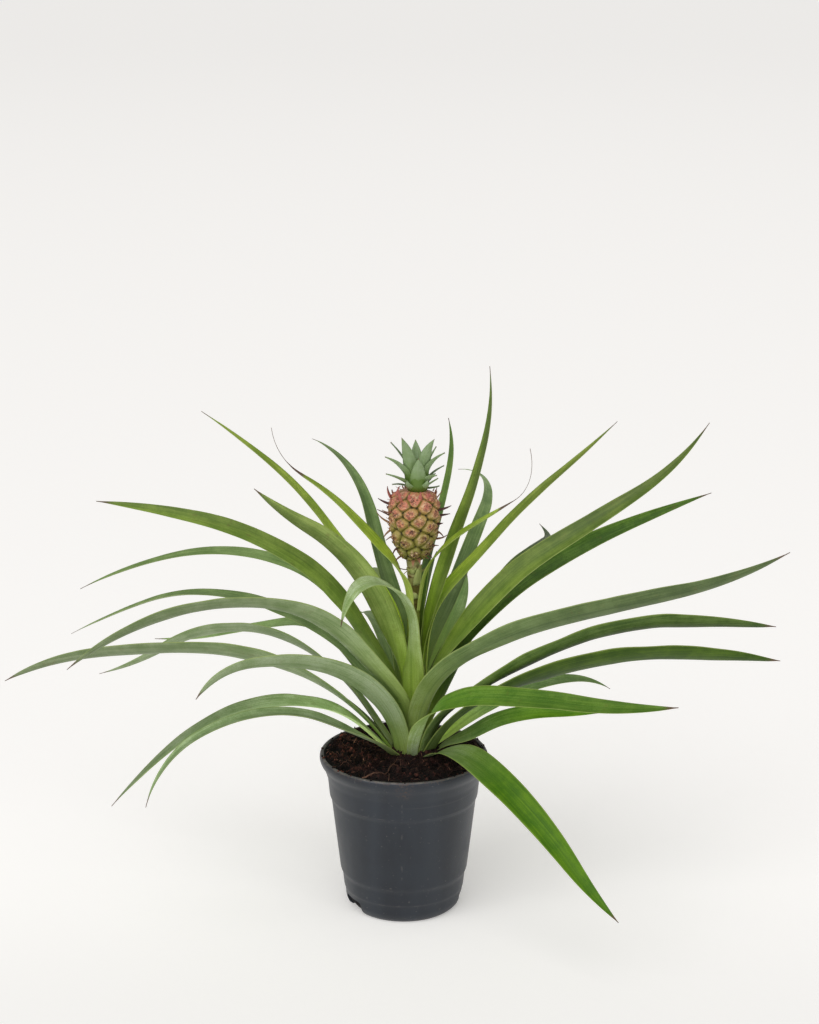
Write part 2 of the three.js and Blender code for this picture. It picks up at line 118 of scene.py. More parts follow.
def value_noise(points: np.ndarray, seed: int) -> np.ndarray:
    """Smooth noise: fixed random values on whole-number corners, blended along each axis by 3t² - 2t³.

    Args:
        points: Places, as rows of three numbers, where one unit is one step of the noise.
        seed: Which pattern to take.

    Returns:
        One value from -1 to 1 for each place.
    """
    cell = np.floor(points).astype(np.int64)
    share = smooth(points - cell)
    total = np.zeros(len(points))
    for corner in range(8):
        offset = np.array([(corner >> axis) & 1 for axis in range(3)])
        weight = np.prod(np.where(offset == 1, share, 1.0 - share), axis=1)
        key = (cell + offset) @ np.array([73856093, 19349663, 83492791]) + seed * 26544357
        key = (key ^ (key >> 13)) * 1274126177
        key = key ^ (key >> 16)
        total += weight * ((key & 0xFFFF) / 0x8000 - 1.0)
    return total


def rough_noise(points: np.ndarray, step: float, octaves: int, seed: int) -> np.ndarray:
    """Layers of smooth noise, each half as large and twice as fine as the one before it.

    Args:
        points: Places in millimetres, in an array whose last axis is x, y, z.
        step: Size of the coarsest layer's step, in millimetres.
        octaves: How many layers.
        seed: Which pattern to take.

    Returns:
        Values from about -1 to 1, in the shape of points without its last axis.
    """
    flat = points.reshape(-1, 3) / step
    total = np.zeros(len(flat))
    for layer in range(octaves):
        total += value_noise(flat * 2.0**layer, seed + layer) * 0.5**layer
    return total.reshape(points.shape[:-1]) / (2.0 - 2.0 ** (1 - octaves))


def grid_quads(rows: int, columns: int, wrap: bool) -> np.ndarray:
    """The corners of each cell of a grid whose points are stored row by row.

    Args:
        rows: Rows of points.
        columns: Points in a row.
        wrap: Whether the last column joins the first.

    Returns:
        One row of four point numbers for each cell.
    """
    row = np.arange(rows - 1)[:, None] * columns
    column = np.arange(columns if wrap else columns - 1)[None, :]
    after = (column + 1) % columns
    corners = [row + column, row + after, row + columns + after, row + columns + column]
    return np.stack(corners, axis=-1).reshape(-1, 4)


@dataclass
class Surface:
    """A closed form as points, faces of four and three corners, and named values on its points.

    Points are in millimetres until place() makes a piece of them.
    """

    points: np.ndarray
    quads: np.ndarray
    tris: np.ndarray = field(default_factory=lambda: np.zeros((0, 3), int))
    values: dict[str, np.ndarray] = field(default_factory=dict)

    def volume(self) -> float:
        """Six times the signed volume: the sum of a · (b × c) over its triangles."""
        halves = [self.quads[:, [0, 1, 2]], self.quads[:, [0, 2, 3]], self.tris]
        a, b, c = (self.points[np.concatenate(halves)[:, k]] for k in range(3))
        return float(np.einsum("ij,ij->", a, np.cross(b, c)))

    def outward(self) -> "Surface":
        """Turns every face round if the faces point inwards.

        Returns:
            This form.
        """
        if self.volume() < 0.0:
            self.quads = self.quads[:, ::-1]
            self.tris = self.tris[:, ::-1]
        return self

    @staticmethod
    def joined(parts: Sequence["Surface"]) -> "Surface":
        """One form that holds all the given forms, which have the same value names.

        Args:
            parts: The forms to join, each left as it is.

        Returns:
            The joined form.
        """
        starts = np.cumsum([0] + [len(p.points) for p in parts])
        return Surface(
            points=np.concatenate([p.points for p in parts]),
            quads=np.concatenate([p.quads + s for p, s in zip(parts, starts)]),
            tris=np.concatenate([p.tris + s for p, s in zip(parts, starts)]),
            values={n: np.concatenate([p.values[n] for p in parts]) for n in parts[0].values},
        )

    def place(self, name: str, material: Material, slot: str, *stands_for: str) -> Item:
        """Makes a piece of this form, at its place in the frame.

        Args:
            name: The piece's name.
            material: Its finish.
            slot: The record's material slot for the finish; not used.
            stands_for: CAD nodes that the piece replaces.

        Returns:
            The new object, which sits at the origin with its place in its mesh.
        """
        mesh = bpy.data.meshes.new(name)
        corners = np.concatenate([self.quads.ravel(), self.tris.ravel()]).astype(np.int32)
        starts = np.concatenate([np.arange(len(self.quads)) * 4, self.quads.size + np.arange(len(self.tris)) * 3])
        mesh.vertices.add(len(self.points))
        mesh.vertices.foreach_set("co", (self.points * MM).astype(np.float32).ravel())
        mesh.loops.add(len(corners))
        mesh.loops.foreach_set("vertex_index", corners)
        mesh.polygons.add(len(starts))
        mesh.polygons.foreach_set("loop_start", starts.astype(np.int32))
        mesh.polygons.foreach_set("use_smooth", np.ones(len(starts), bool))
        for key, numbers in self.values.items():
            made = mesh.attributes.new(key, "FLOAT", "POINT")
            made.data.foreach_set("value", np.asarray(numbers, np.float32).ravel())
        mesh.update(calc_edges=True)
        mesh.materials.append(material)
        piece = stand(name, mesh)
        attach(piece, BODY)
        if stands_for:
            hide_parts(*stands_for)
        LOG.info("%s: %d faces", name, len(starts))
        return piece


def ring_ends(count: int, last: int) -> np.ndarray:
    """The faces that close both ends of a blade, whose rings hold one face's points and then the other's in reverse.

    Args:
        count: Points in a ring.
        last: The first point number of the last ring.

    Returns:
        Rows of four point numbers, first for the foot and then for the tip.
    """
    j = np.arange(count // 2 - 1)
    foot = np.stack([j, j + 1, count - 2 - j, count - 1 - j], axis=1)
    return np.concatenate([foot[:, ::-1], foot + last])


def blade_surface(rings: np.ndarray, values: dict[str, np.ndarray]) -> Surface:
    """Closed blades of the same layout in one form: each is a skin through its rings, closed at both ends.

    Args:
        rings: Points as [blade, station, place in the ring, xyz].
        values: Named values as [blade, station, place in the ring].

    Returns:
        The form, with its faces outwards.
    """
    blades, stations, count = rings.shape[:3]
    one = np.concatenate([grid_quads(stations, count, True), ring_ends(count, (stations - 1) * count)])
    quads = (one[None] + (np.arange(blades) * stations * count)[:, None, None]).reshape(-1, 4)
    flat = {name: v.reshape(-1) for name, v in values.items()}
    return Surface(rings.reshape(-1, 3), quads, values=flat).outward()


def capped_rings(rings: np.ndarray, values: dict[str, np.ndarray]) -> Surface:
    """A closed form through round rings, whose first and last ring are closed by a fan to their middle.

    Args:
        rings: Points as [ring, place round it, xyz].
        values: Named values as [ring, place round it].

    Returns:
        The form, with its faces outwards.
    """
    rows, around = rings.shape[:2]
    poles = np.stack([rings[0].mean(axis=0), rings[-1].mean(axis=0)])
    points = np.concatenate([rings.reshape(-1, 3), poles])
    k = np.arange(around)
    after = (k + 1) % around
    total, last = rows * around, (rows - 1) * around
    low = np.stack([np.full(around, total), after, k], axis=1)
    high = np.stack([np.full(around, total + 1), last + k, last + after], axis=1)
    flat = {n: np.concatenate([v.reshape(-1), [v[0].mean(), v[-1].mean()]]) for n, v in values.items()}
    return Surface(points, grid_quads(rows, around, True), np.concatenate([low, high]), flat).outward()


def turned_profile(profile: Sequence[tuple[float, float]], step: float, fillet: int) -> np.ndarray:
    """A profile with points at even steps along it and its corners eased by a running mean.

    Args:
        profile: Corners as (radius, height).
        step: Distance between points, in millimetres.
        fillet: How many points the running mean takes, an odd number.

    Returns:
        Rows of radius and height.
    """
    corners = np.array(profile, float)
    reach = np.concatenate([[0.0], np.cumsum(np.hypot(*np.diff(corners, axis=0).T))])
    at = np.linspace(0.0, reach[-1], max(2, round(reach[-1] / step)))
    even = np.stack([np.interp(at, reach, corners[:, k]) for k in range(2)], axis=1)
    edge = fillet // 2
    padded = np.pad(even, ((edge, edge), (0, 0)), mode="edge")
    eased = np.stack([np.convolve(padded[:, k], np.ones(fillet) / fillet, mode="valid") for k in range(2)], axis=1)
    eased[0], eased[-1] = even[0], even[-1]
    return eased


@dataclass
class Wiring:
    """Adds and links the nodes of the node tree of one material or group."""

    tree: Tree

    def add(self, kind: str, inputs: dict | None = None, **settings: object) -> Node:
        """Adds a node.

        Args:
            kind: The node's type name without its ShaderNode prefix.
            inputs: Values or sockets for its inputs, by name or number.
            settings: The node's own settings.

        Returns:
            The node.
        """
        node = self.tree.nodes.new("ShaderNode" + kind)
        for key, value in settings.items():
            setattr(node, key, value)
        for key, value in (inputs or {}).items():
            if isinstance(value, Socket):
                self.tree.links.new(value, node.inputs[key])
            else:
                node.inputs[key].default_value = value
        return node

    def value(self, name: str) -> Socket:
        """The point value of that name, as numbers."""
        return self.add("Attribute", attribute_name=name).outputs["Fac"]

    def place(self) -> Socket:
        """The point on the piece, in metres."""
        return self.add("TexCoord").outputs["Object"]

    def point(self, x: object, y: object, z: object) -> Socket:
        """A vector from three numbers or sockets."""
        return self.add("CombineXYZ", {0: x, 1: y, 2: z}).outputs[0]

    def maths(self, operation: str, a: object, b: object = 0.0) -> Socket:
        """One step of arithmetic.

        Args:
            operation: Its name, such as MULTIPLY.
            a: The first number or socket.
            b: The second number or socket.

        Returns:
            The result.
        """
        return self.add("Math", {0: a, 1: b}, operation=operation).outputs[0]

    def plus(self, *parts: object) -> Socket:
        """The sum of numbers or sockets."""
        return reduce(partial(self.maths, "ADD"), parts)

    def times(self, *parts: object) -> Socket:
        """The product of numbers or sockets."""
        return reduce(partial(self.maths, "MULTIPLY"), parts)

    def most(self, *parts: object) -> Socket:
        """The largest of numbers or sockets."""
        return reduce(partial(self.maths, "MAXIMUM"), parts)

    def lead(self, source: Socket, node: Node, name: str) -> None:
        """Links a socket to a node's input of that name."""
        self.tree.links.new(source, node.inputs[name])

    def ramp(
        self, value: object, low: object, high: object, to_low: float = 0.0, to_high: float = 1.0
    ) -> Socket:
        """A smooth step from to_low to to_high as a value goes from low to high.

        Args:
            value: The number to read.
            low: Where the step starts.
            high: Where it ends.
            to_low: The result before it.
            to_high: The result after it.

        Returns:
            The result.
        """
        inputs = {"Value": value, "From Min": low, "From Max": high, "To Min": to_low, "To Max": to_high}
        return self.add("MapRange", inputs, interpolation_type="SMOOTHSTEP").outputs["Result"]

    def share(self, value: object, to_low: float, to_high: float) -> Socket:
        """A strength that goes from to_low to to_high as a value goes from 0 to 1."""
        return self.ramp(value, 0.0, 1.0, to_low, to_high)

    def mix(self, share: object, a: object, b: object) -> Socket:
        """The colour that lies the given share, 0 to 1, of the way from colour a to colour b."""
        return self.add("Mix", {0: share, 6: a, 7: b}, data_type="RGBA").outputs[2]

    def layers(self, colour: object, *coats: tuple[object, object]) -> Socket:
        """A colour with coats laid over it in turn.

        Args:
            colour: The colour at the bottom.
            coats: For each coat how much of it shows, 0 to 1, and its colour.

        Returns:
            The colour at the top.
        """
        for share, coat in coats:
            colour = self.mix(share, colour, coat)
        return colour

    def band(self, value: object, middle: float, half: float) -> Socket:
        """A soft line: 1 where a value is at the middle, down to 0 at half its width away."""
        return self.ramp(self.maths("ABSOLUTE", self.maths("SUBTRACT", value, middle)), half, 0.0)

    def noise(self, vector: object, scale: object, detail: float, roughness: float = 0.5) -> Socket:
        """Cloudy noise from 0 to 1.

        Args:
            vector: Where to read it.
            scale: Waves in one unit of the vector.
            detail: How many finer layers.
            roughness: How strong the finer layers are.

        Returns:
            The noise.
        """
        inputs = {"Vector": vector, "Scale": scale, "Detail": detail, "Roughness": roughness}
        return self.add("TexNoise", inputs).outputs["Fac"]


def new_group(name: str, inputs: Sequence[str], outputs: Sequence[str]) -> tuple[Wiring, Node, Node]:
    """An empty shader group whose sockets are numbers.

    Args:
        name: The group's name.
        inputs: The names of its inputs.
        outputs: The names of its outputs.

    Returns:
        Its wiring, its input node and its output node.
    """
    tree = bpy.data.node_groups.new(name, "ShaderNodeTree")
    for in_out, keys in {"INPUT": inputs, "OUTPUT": outputs}.items():
        for key in keys:
            tree.interface.new_socket(name=key, in_out=in_out, socket_type="NodeSocketFloat")
    return Wiring(tree), tree.nodes.new("NodeGroupInput"), tree.nodes.new("NodeGroupOutput")


def mottle_group() -> Tree:
    """Patches: noise on the piece's own coordinates, held between a low and a high level.

    Returns:
        The group, with inputs Scale, Low and High and output Mask.
    """
    wires, start, end = new_group("mottle", ["Scale", "Low", "High"], ["Mask"])
    spots = wires.noise(wires.place(), start.outputs["Scale"], 4.0, 0.6)
    mask = wires.ramp(spots, start.outputs["Low"], start.outputs["High"])
    wires.lead(mask, end, "Mask")
    return wires.tree


def grain_group() -> Tree:
    """Fine unevenness: two scales of noise on the piece's own coordinates.

    Returns:
        The group, with inputs Coarse and Fine, in waves a metre, and output Height.
    """
    wires, start, end = new_group("fine_grain", ["Coarse", "Fine"], ["Height"])
    coarse = wires.noise(wires.place(), start.outputs["Coarse"], 2.0)
    fine = wires.noise(wires.place(), start.outputs["Fine"], 3.0, 0.65)
    height = wires.plus(wires.times(coarse, 0.6), wires.times(fine, 0.4))
    wires.lead(height, end, "Height")
    return wires.tree


def veins_group() -> Tree:
    """Fine lengthwise veins of a blade: noise stretched along it, in its across and along values.

    Returns:
        The group, with input Pitch, in veins a millimetre, outputs Fine and Broad for colour and Height for the bump.
    """
    wires, start, end = new_group("veins", ["Pitch"], ["Fine", "Broad", "Height"])
    across, along, seed = wires.value("across"), wires.value("along"), wires.value("seed")
    pitch = start.outputs["Pitch"]
    fine = wires.noise(wires.point(wires.times(across, pitch), wires.times(along, 0.03), seed), 1.0, 2.0, 0.6)
    broad = wires.noise(wires.point(wires.times(across, 0.28), wires.times(along, 0.012), seed), 1.0, 2.0)
    for name, socket in {"Fine": fine, "Broad": broad, "Height": fine}.items():
        wires.lead(socket, end, name)
    return wires.tree


def new_material(name: str) -> tuple[Material, Wiring, Node]:
    """A material with one main shader.

    Args:
        name: The material's name.

    Returns:
        The material, its wiring and its Principled shader.
    """
    material = bpy.data.materials.new(name)
    material.use_nodes = True
    material.node_tree.nodes.clear()
    wires = Wiring(material.node_tree)
    shader = wires.add("BsdfPrincipled")
    wires.add("OutputMaterial", {"Surface": shader.outputs["BSDF"]})
    return material, wires, shader


def bump(wires: Wiring, shader: Node, height: Socket, depth: float, strength: float) -> None:
    """Leads a height to a shader's normal.

    Args:
        wires: The material's wiring.
        shader: The shader.
        height: The height, 0 to 1.
        depth: What a height of 1 stands for, in metres.
        strength: How much of the effect to take.
    """
    made = wires.add("Bump", {"Height": height, "Distance": depth, "Strength": strength})
    wires.lead(made.outputs["Normal"], shader, "Normal")


@dataclass(frozen=True)
class Effects:
    """The shader groups that several finishes share: fine unevenness, patches and lengthwise veins."""

    grain: Tree
    mottle: Tree
    veins: Tree

    def patches(self, wires: Wiring, scale: float, low: float, high: float) -> Socket:
        """Places the group of patches in a material: its mask goes from 0 to 1 between the two levels."""
        return wires.add("Group", {"Scale": scale, "Low": low, "High": high}, node_tree=self.mottle).outputs["Mask"]

    def unevenness(self, wires: Wiring, coarse: float, fine: float) -> Socket:
        """Places the group of fine unevenness in a material, with two scales in waves a metre."""
        return wires.add("Group", {"Coarse": coarse, "Fine": fine}, node_tree=self.grain).outputs["Height"]


@dataclass(frozen=True)
class BladeFinish:
    """The look of a leaf: a deep green face, a paler powdery back, fine veins, a bright foot and a dry tip.

    Here as in the other finishes, the sizes that end in scale are waves a metre.
    """

    name: str
    face_deep: Colour
    face_light: Colour
    back_deep: Colour
    back_light: Colour
    foot: Colour
    powder: Colour = srgb(158, 172, 144)
    margin: Colour = srgb(158, 174, 92)
    fleck: Colour = srgb(66, 60, 30)
    dry: Colour = srgb(98, 76, 58)
    blotch: Colour = srgb(104, 92, 44)
    vein_pitch: float = 1.3
    patch_scale: float = 60.0
    stain_scale: float = 150.0
    fleck_scale: float = 230.0
    dust_scale: float = 1300.0
    roughness: float = 0.47
    shine: float = 0.5

    def material(self, effects: Effects) -> Material:
        """Builds the finish.

        Args:
            effects: The shared shader groups.

        Returns:
            The material.
        """
        made, wires, shader = new_material(self.name)
        lines = wires.add("Group", {"Pitch": self.vein_pitch}, node_tree=effects.veins)
        patch = effects.patches(wires, self.patch_scale, 0.34, 0.68)
        stains = effects.patches(wires, self.stain_scale, 0.58, 0.7)
        flecks = effects.patches(wires, self.fleck_scale, 0.7, 0.76)
        dust = effects.patches(wires, self.dust_scale, 0.34, 0.62)
        fine, broad = lines.outputs["Fine"], lines.outputs["Broad"]
        stripes = wires.plus(wires.times(broad, 0.45), wires.times(fine, 0.75), wires.times(patch, 0.25))
        tone = wires.ramp(stripes, 0.45, 1.0)
        haze = wires.times(wires.value("bloom"), wires.ramp(fine, 0.3, 0.7, 0.4, 1.05))
        haze = wires.times(haze, wires.share(patch, 0.55, 1.0), wires.share(dust, 0.6, 1.0))
        colour = wires.layers(
            wires.mix(tone, self.face_deep, self.face_light),
            (wires.value("under"), wires.mix(tone, self.back_deep, self.back_light)),
            (wires.value("pale"), self.foot),
            (wires.ramp(fine, 0.46, 0.3, 0.0, 0.35), self.back_deep),
            (wires.ramp(wires.maths("ABSOLUTE", wires.value("across")), 1.3, 0.1, 0.0, 0.3), self.face_deep),
            (haze, self.powder),
        )
        # This value holds each leaf's own lightness and the painted light and painted shade on its two halves.
        lift = wires.times(wires.maths("POWER", 2.0, wires.value("tint_and_painted_light")), wires.share(dust, 0.93, 1.07))
        colour = wires.layers(
            wires.add("HueSaturation", {"Value": lift, "Color": colour}).outputs["Color"],
            (wires.times(wires.most(stains, wires.ramp(fine, 0.66, 0.74)), 0.5, wires.value("stain")), self.blotch),
            (wires.times(flecks, 0.55), self.fleck),
            (wires.ramp(wires.value("edge"), 0.9, 0.99, 0.0, 0.6), self.margin),
            (wires.value("dry"), self.dry),
        )
        wires.lead(colour, shader, "Base Color")
        rough = wires.plus(self.roughness, wires.times(haze, 0.25), wires.times(fine, 0.08))
        wires.lead(rough, shader, "Roughness")
        shader.inputs["Specular IOR Level"].default_value = self.shine
        bump(wires, shader, lines.outputs["Height"], 0.0003, 0.6)
        return made


class Tone(Enum):
    """The greens of the rosette's leaves: face deep and light, back deep and light, and foot."""

    SILVER = BladeFinish(
        "leaf_silver", srgb(84, 112, 46), srgb(122, 148, 80), srgb(108, 132, 74), srgb(146, 164, 116),
        srgb(148, 170, 76),
    )
    OLIVE = BladeFinish(
        "leaf_olive", srgb(82, 110, 23), srgb(123, 147, 51), srgb(102, 126, 42), srgb(140, 160, 72), srgb(136, 162, 48)
    )
    LIME = BladeFinish(
        "leaf_lime", srgb(112, 140, 28), srgb(160, 182, 64), srgb(124, 148, 44), srgb(168, 182, 88), srgb(174, 186, 92)
    )
    DEEP = BladeFinish(
        "leaf_deep", srgb(44, 74, 10), srgb(76, 108, 22), srgb(54, 84, 12), srgb(88, 118, 30), srgb(116, 142, 44),
        shine=0.2,
    )
    FRESH = BladeFinish(
        "leaf_fresh", srgb(60, 94, 20), srgb(98, 126, 44), srgb(80, 108, 42), srgb(116, 142, 74), srgb(152, 174, 72)
    )
    BLUE = BladeFinish(
        "leaf_blue", srgb(72, 100, 40), srgb(112, 136, 76), srgb(96, 120, 76), srgb(138, 156, 120), srgb(118, 144, 52)
    )
    VIVID = BladeFinish(
        "leaf_vivid", srgb(58, 100, 6), srgb(92, 130, 16), srgb(80, 112, 22), srgb(118, 142, 50), srgb(126, 150, 62),
        shine=0.2,
    )


CLIMB_AT = (0.0, 0.12, 0.3, 0.5, 0.75, 1.0)
HEADING_AT = (0.0, 0.3, 1.0)
PLANT_X = 7.0


@dataclass(frozen=True)
class Leaf:
    """One long channelled leaf that clasps the stem, rises, arches and tapers to a fine point.

    foot is the height where it starts and clasp its distance there from the stem's axis. Its headings are from +X and
    its climbs are above the level, in degrees, at set shares of its length, and roll turns it about its middle line.
    bloom is its powder, tints lighten it near the foot and further out, and fold is painted light on one half of it
    and painted shade on the other.
    Its foot is foot_share of the full width, which it reaches open_by of the way out. Its skin is pale for the first
    millimetres and dry from dry_from on, and past thread_from it is only a dry thread.
    """

    name: str
    foot: float
    clasp: float
    headings: tuple[float, float, float]
    climbs: tuple[float, float, float, float, float, float]
    length: float
    width: float
    roll: float
    taper: float
    tone: Tone
    bloom: float = 0.2
    powder_from: float = 0.0
    foot_powder: float = 0.0
    face_powder: float = 0.35
    tints: tuple[float, float] = (0.0, 0.0)
    stain: float = 0.0
    fold: float = 0.0
    foot_share: float = 0.8
    open_by: float = 0.2
    pale: float = 45.0
    dry_from: float = 0.97
    thread_from: float = 1.0
    stations: int = 96
    across: int = 13

    CHANNEL = math.radians(28.0)
    WIDEST_CLASP = math.radians(42.0)
    ROLL_BY = 0.4
    THICK = 0.8
    EDGE_THIN = 0.72
    TIP_WIDTH = 0.5
    THREAD_WIDTH = 1.5
    FOOT_POWDER_REACH = 90.0
    STEPS = 120
    EASE = 9
    CROWDING = 1.1
    SWAY = math.radians(4.0)
    SWAY_STEP = 60.0
    SWAY_SEED = 5
    WAVE = 0.045
    WAVE_STEP = 26.0

    def seed(self) -> int:
        """A number of its own, from its name."""
        return sum(ord(letter) * (place + 3) for place, letter in enumerate(self.name))

    def eased(self, share: np.ndarray, at: Sequence[float], given: Sequence[float]) -> np.ndarray:
        """Angles along the leaf: straight runs between the given ones, with the bends eased by a running mean.

        Args:
            share: Shares of the length, at even steps.
            at: The shares where the angles are given.
            given: The given angles, in degrees.

        Returns:
            Angles in radians.
        """
        exact = np.radians(np.interp(share, at, given))
        edge = self.EASE // 2
        return np.convolve(np.pad(exact, edge, mode="edge"), np.ones(self.EASE) / self.EASE, mode="valid")

    def line(self) -> tuple[np.ndarray, np.ndarray, np.ndarray, np.ndarray]:
        """The leaf's middle line: each step goes the way that heading and climb give at its start.

        Returns:
            Shares of the length, points, directions along and directions across.
        """
        share = np.linspace(0.0, 1.0, self.STEPS + 1)
        turn = self.eased(share, HEADING_AT, self.headings)
        rise = self.eased(share, CLIMB_AT, self.climbs)
        along = np.stack([np.cos(turn) * np.cos(rise), np.sin(turn) * np.cos(rise), np.sin(rise)], axis=1)
        start = math.radians(self.headings[0])
        foot = np.array([PLANT_X + self.clasp * math.cos(start), self.clasp * math.sin(start), self.foot])
        points = foot + np.concatenate([np.zeros((1, 3)), np.cumsum(along[:-1] * self.length / self.STEPS, axis=0)])
        side = np.stack([-np.sin(turn), np.cos(turn), np.zeros_like(turn)], axis=1)
        return share, points, along, side

    def clasp_half(self) -> float:
        """Half the angle that the foot takes up round the stem, in radians."""
        return min(self.WIDEST_CLASP, self.foot_share * self.width / (2.0 * self.clasp))

    def full_width(self, share: np.ndarray) -> np.ndarray:
        """Width along the leaf: its foot's width opening to the full width, times 1 - share to the power of taper.

        Args:
            share: Shares of the length.

        Returns:
            Widths in millimetres, never less than the tip's.
        """
        wide = blend(2.0 * self.clasp_half() * self.clasp, self.width, smooth(share / self.open_by))
        body = wide * (1.0 - held(share / self.thread_from) ** self.taper)
        thread = self.THREAD_WIDTH * (1.0 - 0.8 * share) if self.thread_from < 1.0 else 0.0
        return np.maximum(np.maximum(body, thread), self.TIP_WIDTH)

    def powdered(self, reach: np.ndarray, lower: np.ndarray) -> np.ndarray:
        """How much powder lies on the skin: it sets in after powder_from, with face_powder's share on the upper face.

        Args:
            reach: Shares of the length.
            lower: 1 on the lower face and 0 on the upper one.

        Returns:
            Strengths from 0 to 0.95.
        """
        start = 0.3 if self.powder_from == 0.0 else 0.08
        whole = self.bloom * (start + (1.0 - start) * smooth((reach - self.powder_from) / 0.35))
        foot = self.foot_powder * (1.0 - smooth(reach * self.length / self.FOOT_POWDER_REACH))
        return np.clip(whole * blend(self.face_powder, 1.0, lower) + foot, 0.0, 0.95)

    def surface(self) -> Surface:
        """The blade: at each station an arc of a channel, rolled with the leaf, with thin edges and a slight wave.

        The point at place u across it, from -1 to 1, is the middle line + side · r sin(u · half)
        + face · (radius - r cos(u · half)), where r is the radius on the upper face and more by the thickness below.

        Returns:
            The closed blade.
        """
        fine, points, along, side = self.line()
        share = (np.arange(self.stations + 1) / self.stations) ** self.CROWDING
        at, forward, flat = (
            np.stack([np.interp(share, fine, part[:, k]) for k in range(3)], axis=1) for part in (points, along, side)
        )
        half = blend(self.clasp_half(), self.CHANNEL, smooth(share / self.open_by))[:, None]
        full = self.full_width(share)[:, None]
        radius = full / (2.0 * half)
        seed = self.seed()
        drift = np.stack(np.broadcast_arrays(share * self.length / self.SWAY_STEP, float(seed), 0.0), axis=1)
        rolled = smooth(share / self.ROLL_BY)
        turn = math.radians(self.roll) * rolled + self.SWAY * value_noise(drift, self.SWAY_SEED) * rolled
        upward = np.cross(forward, flat)
        upward /= np.linalg.norm(upward, axis=1, keepdims=True)
        cos, sin = np.cos(turn)[:, None], np.sin(turn)[:, None]
        sideways = flat * cos + upward * sin
        face = upward * cos - flat * sin
        u = np.linspace(-1.0, 1.0, self.across)
        ring_u = np.concatenate([u, u[::-1]])[None, :]
        lower = np.concatenate([np.ones(self.across), np.zeros(self.across)])[None, :]
        thick = self.THICK * (1.0 - self.EDGE_THIN * np.abs(ring_u) ** 2.5) * np.clip(full / 4.0, 0.3, 1.0)
        r = radius + lower * thick
        along_wave = share[:, None] * self.length / self.WAVE_STEP
        noise_at = np.stack(np.broadcast_arrays(along_wave, np.sign(ring_u) * 3.0 + seed, ring_u * 0.2), axis=-1)
        wave = rough_noise(noise_at, 1.0, 2, seed) * self.WAVE * full * np.abs(ring_u) ** 2.2
        wave *= smooth((share[:, None] - 0.12) / 0.2)
        out = r * np.sin(ring_u * half)
        up = radius - r * np.cos(ring_u * half) + wave
        rings = at[:, None] + sideways[:, None] * out[..., None] + face[:, None] * up[..., None]
        shape = out.shape
        reach = np.broadcast_to(share[:, None], shape)
        values = {
            "across": ring_u * full / 2.0,
            "along": reach * self.length,
            "seed": np.full(shape, seed % 97 + 0.5),
            "edge": np.broadcast_to(np.abs(ring_u), shape),
            "under": np.broadcast_to(lower, shape),
            "pale": 0.85 * (1.0 - smooth(reach * self.length / self.pale)),
            "bloom": self.powdered(reach, lower),
            "dry": smooth((reach - self.dry_from + 0.012) / 0.024),
            # Painted light and shade: fold lightens one half of the leaf and darkens the other, as light falls across
            # its channel.
            "tint_and_painted_light": blend(*self.tints, smooth((reach - 0.15) / 0.6)) + self.fold * np.tanh(3.0 * ring_u),
            "stain": np.full(shape, self.stain),
        }
        return blade_surface(rings[None], values)
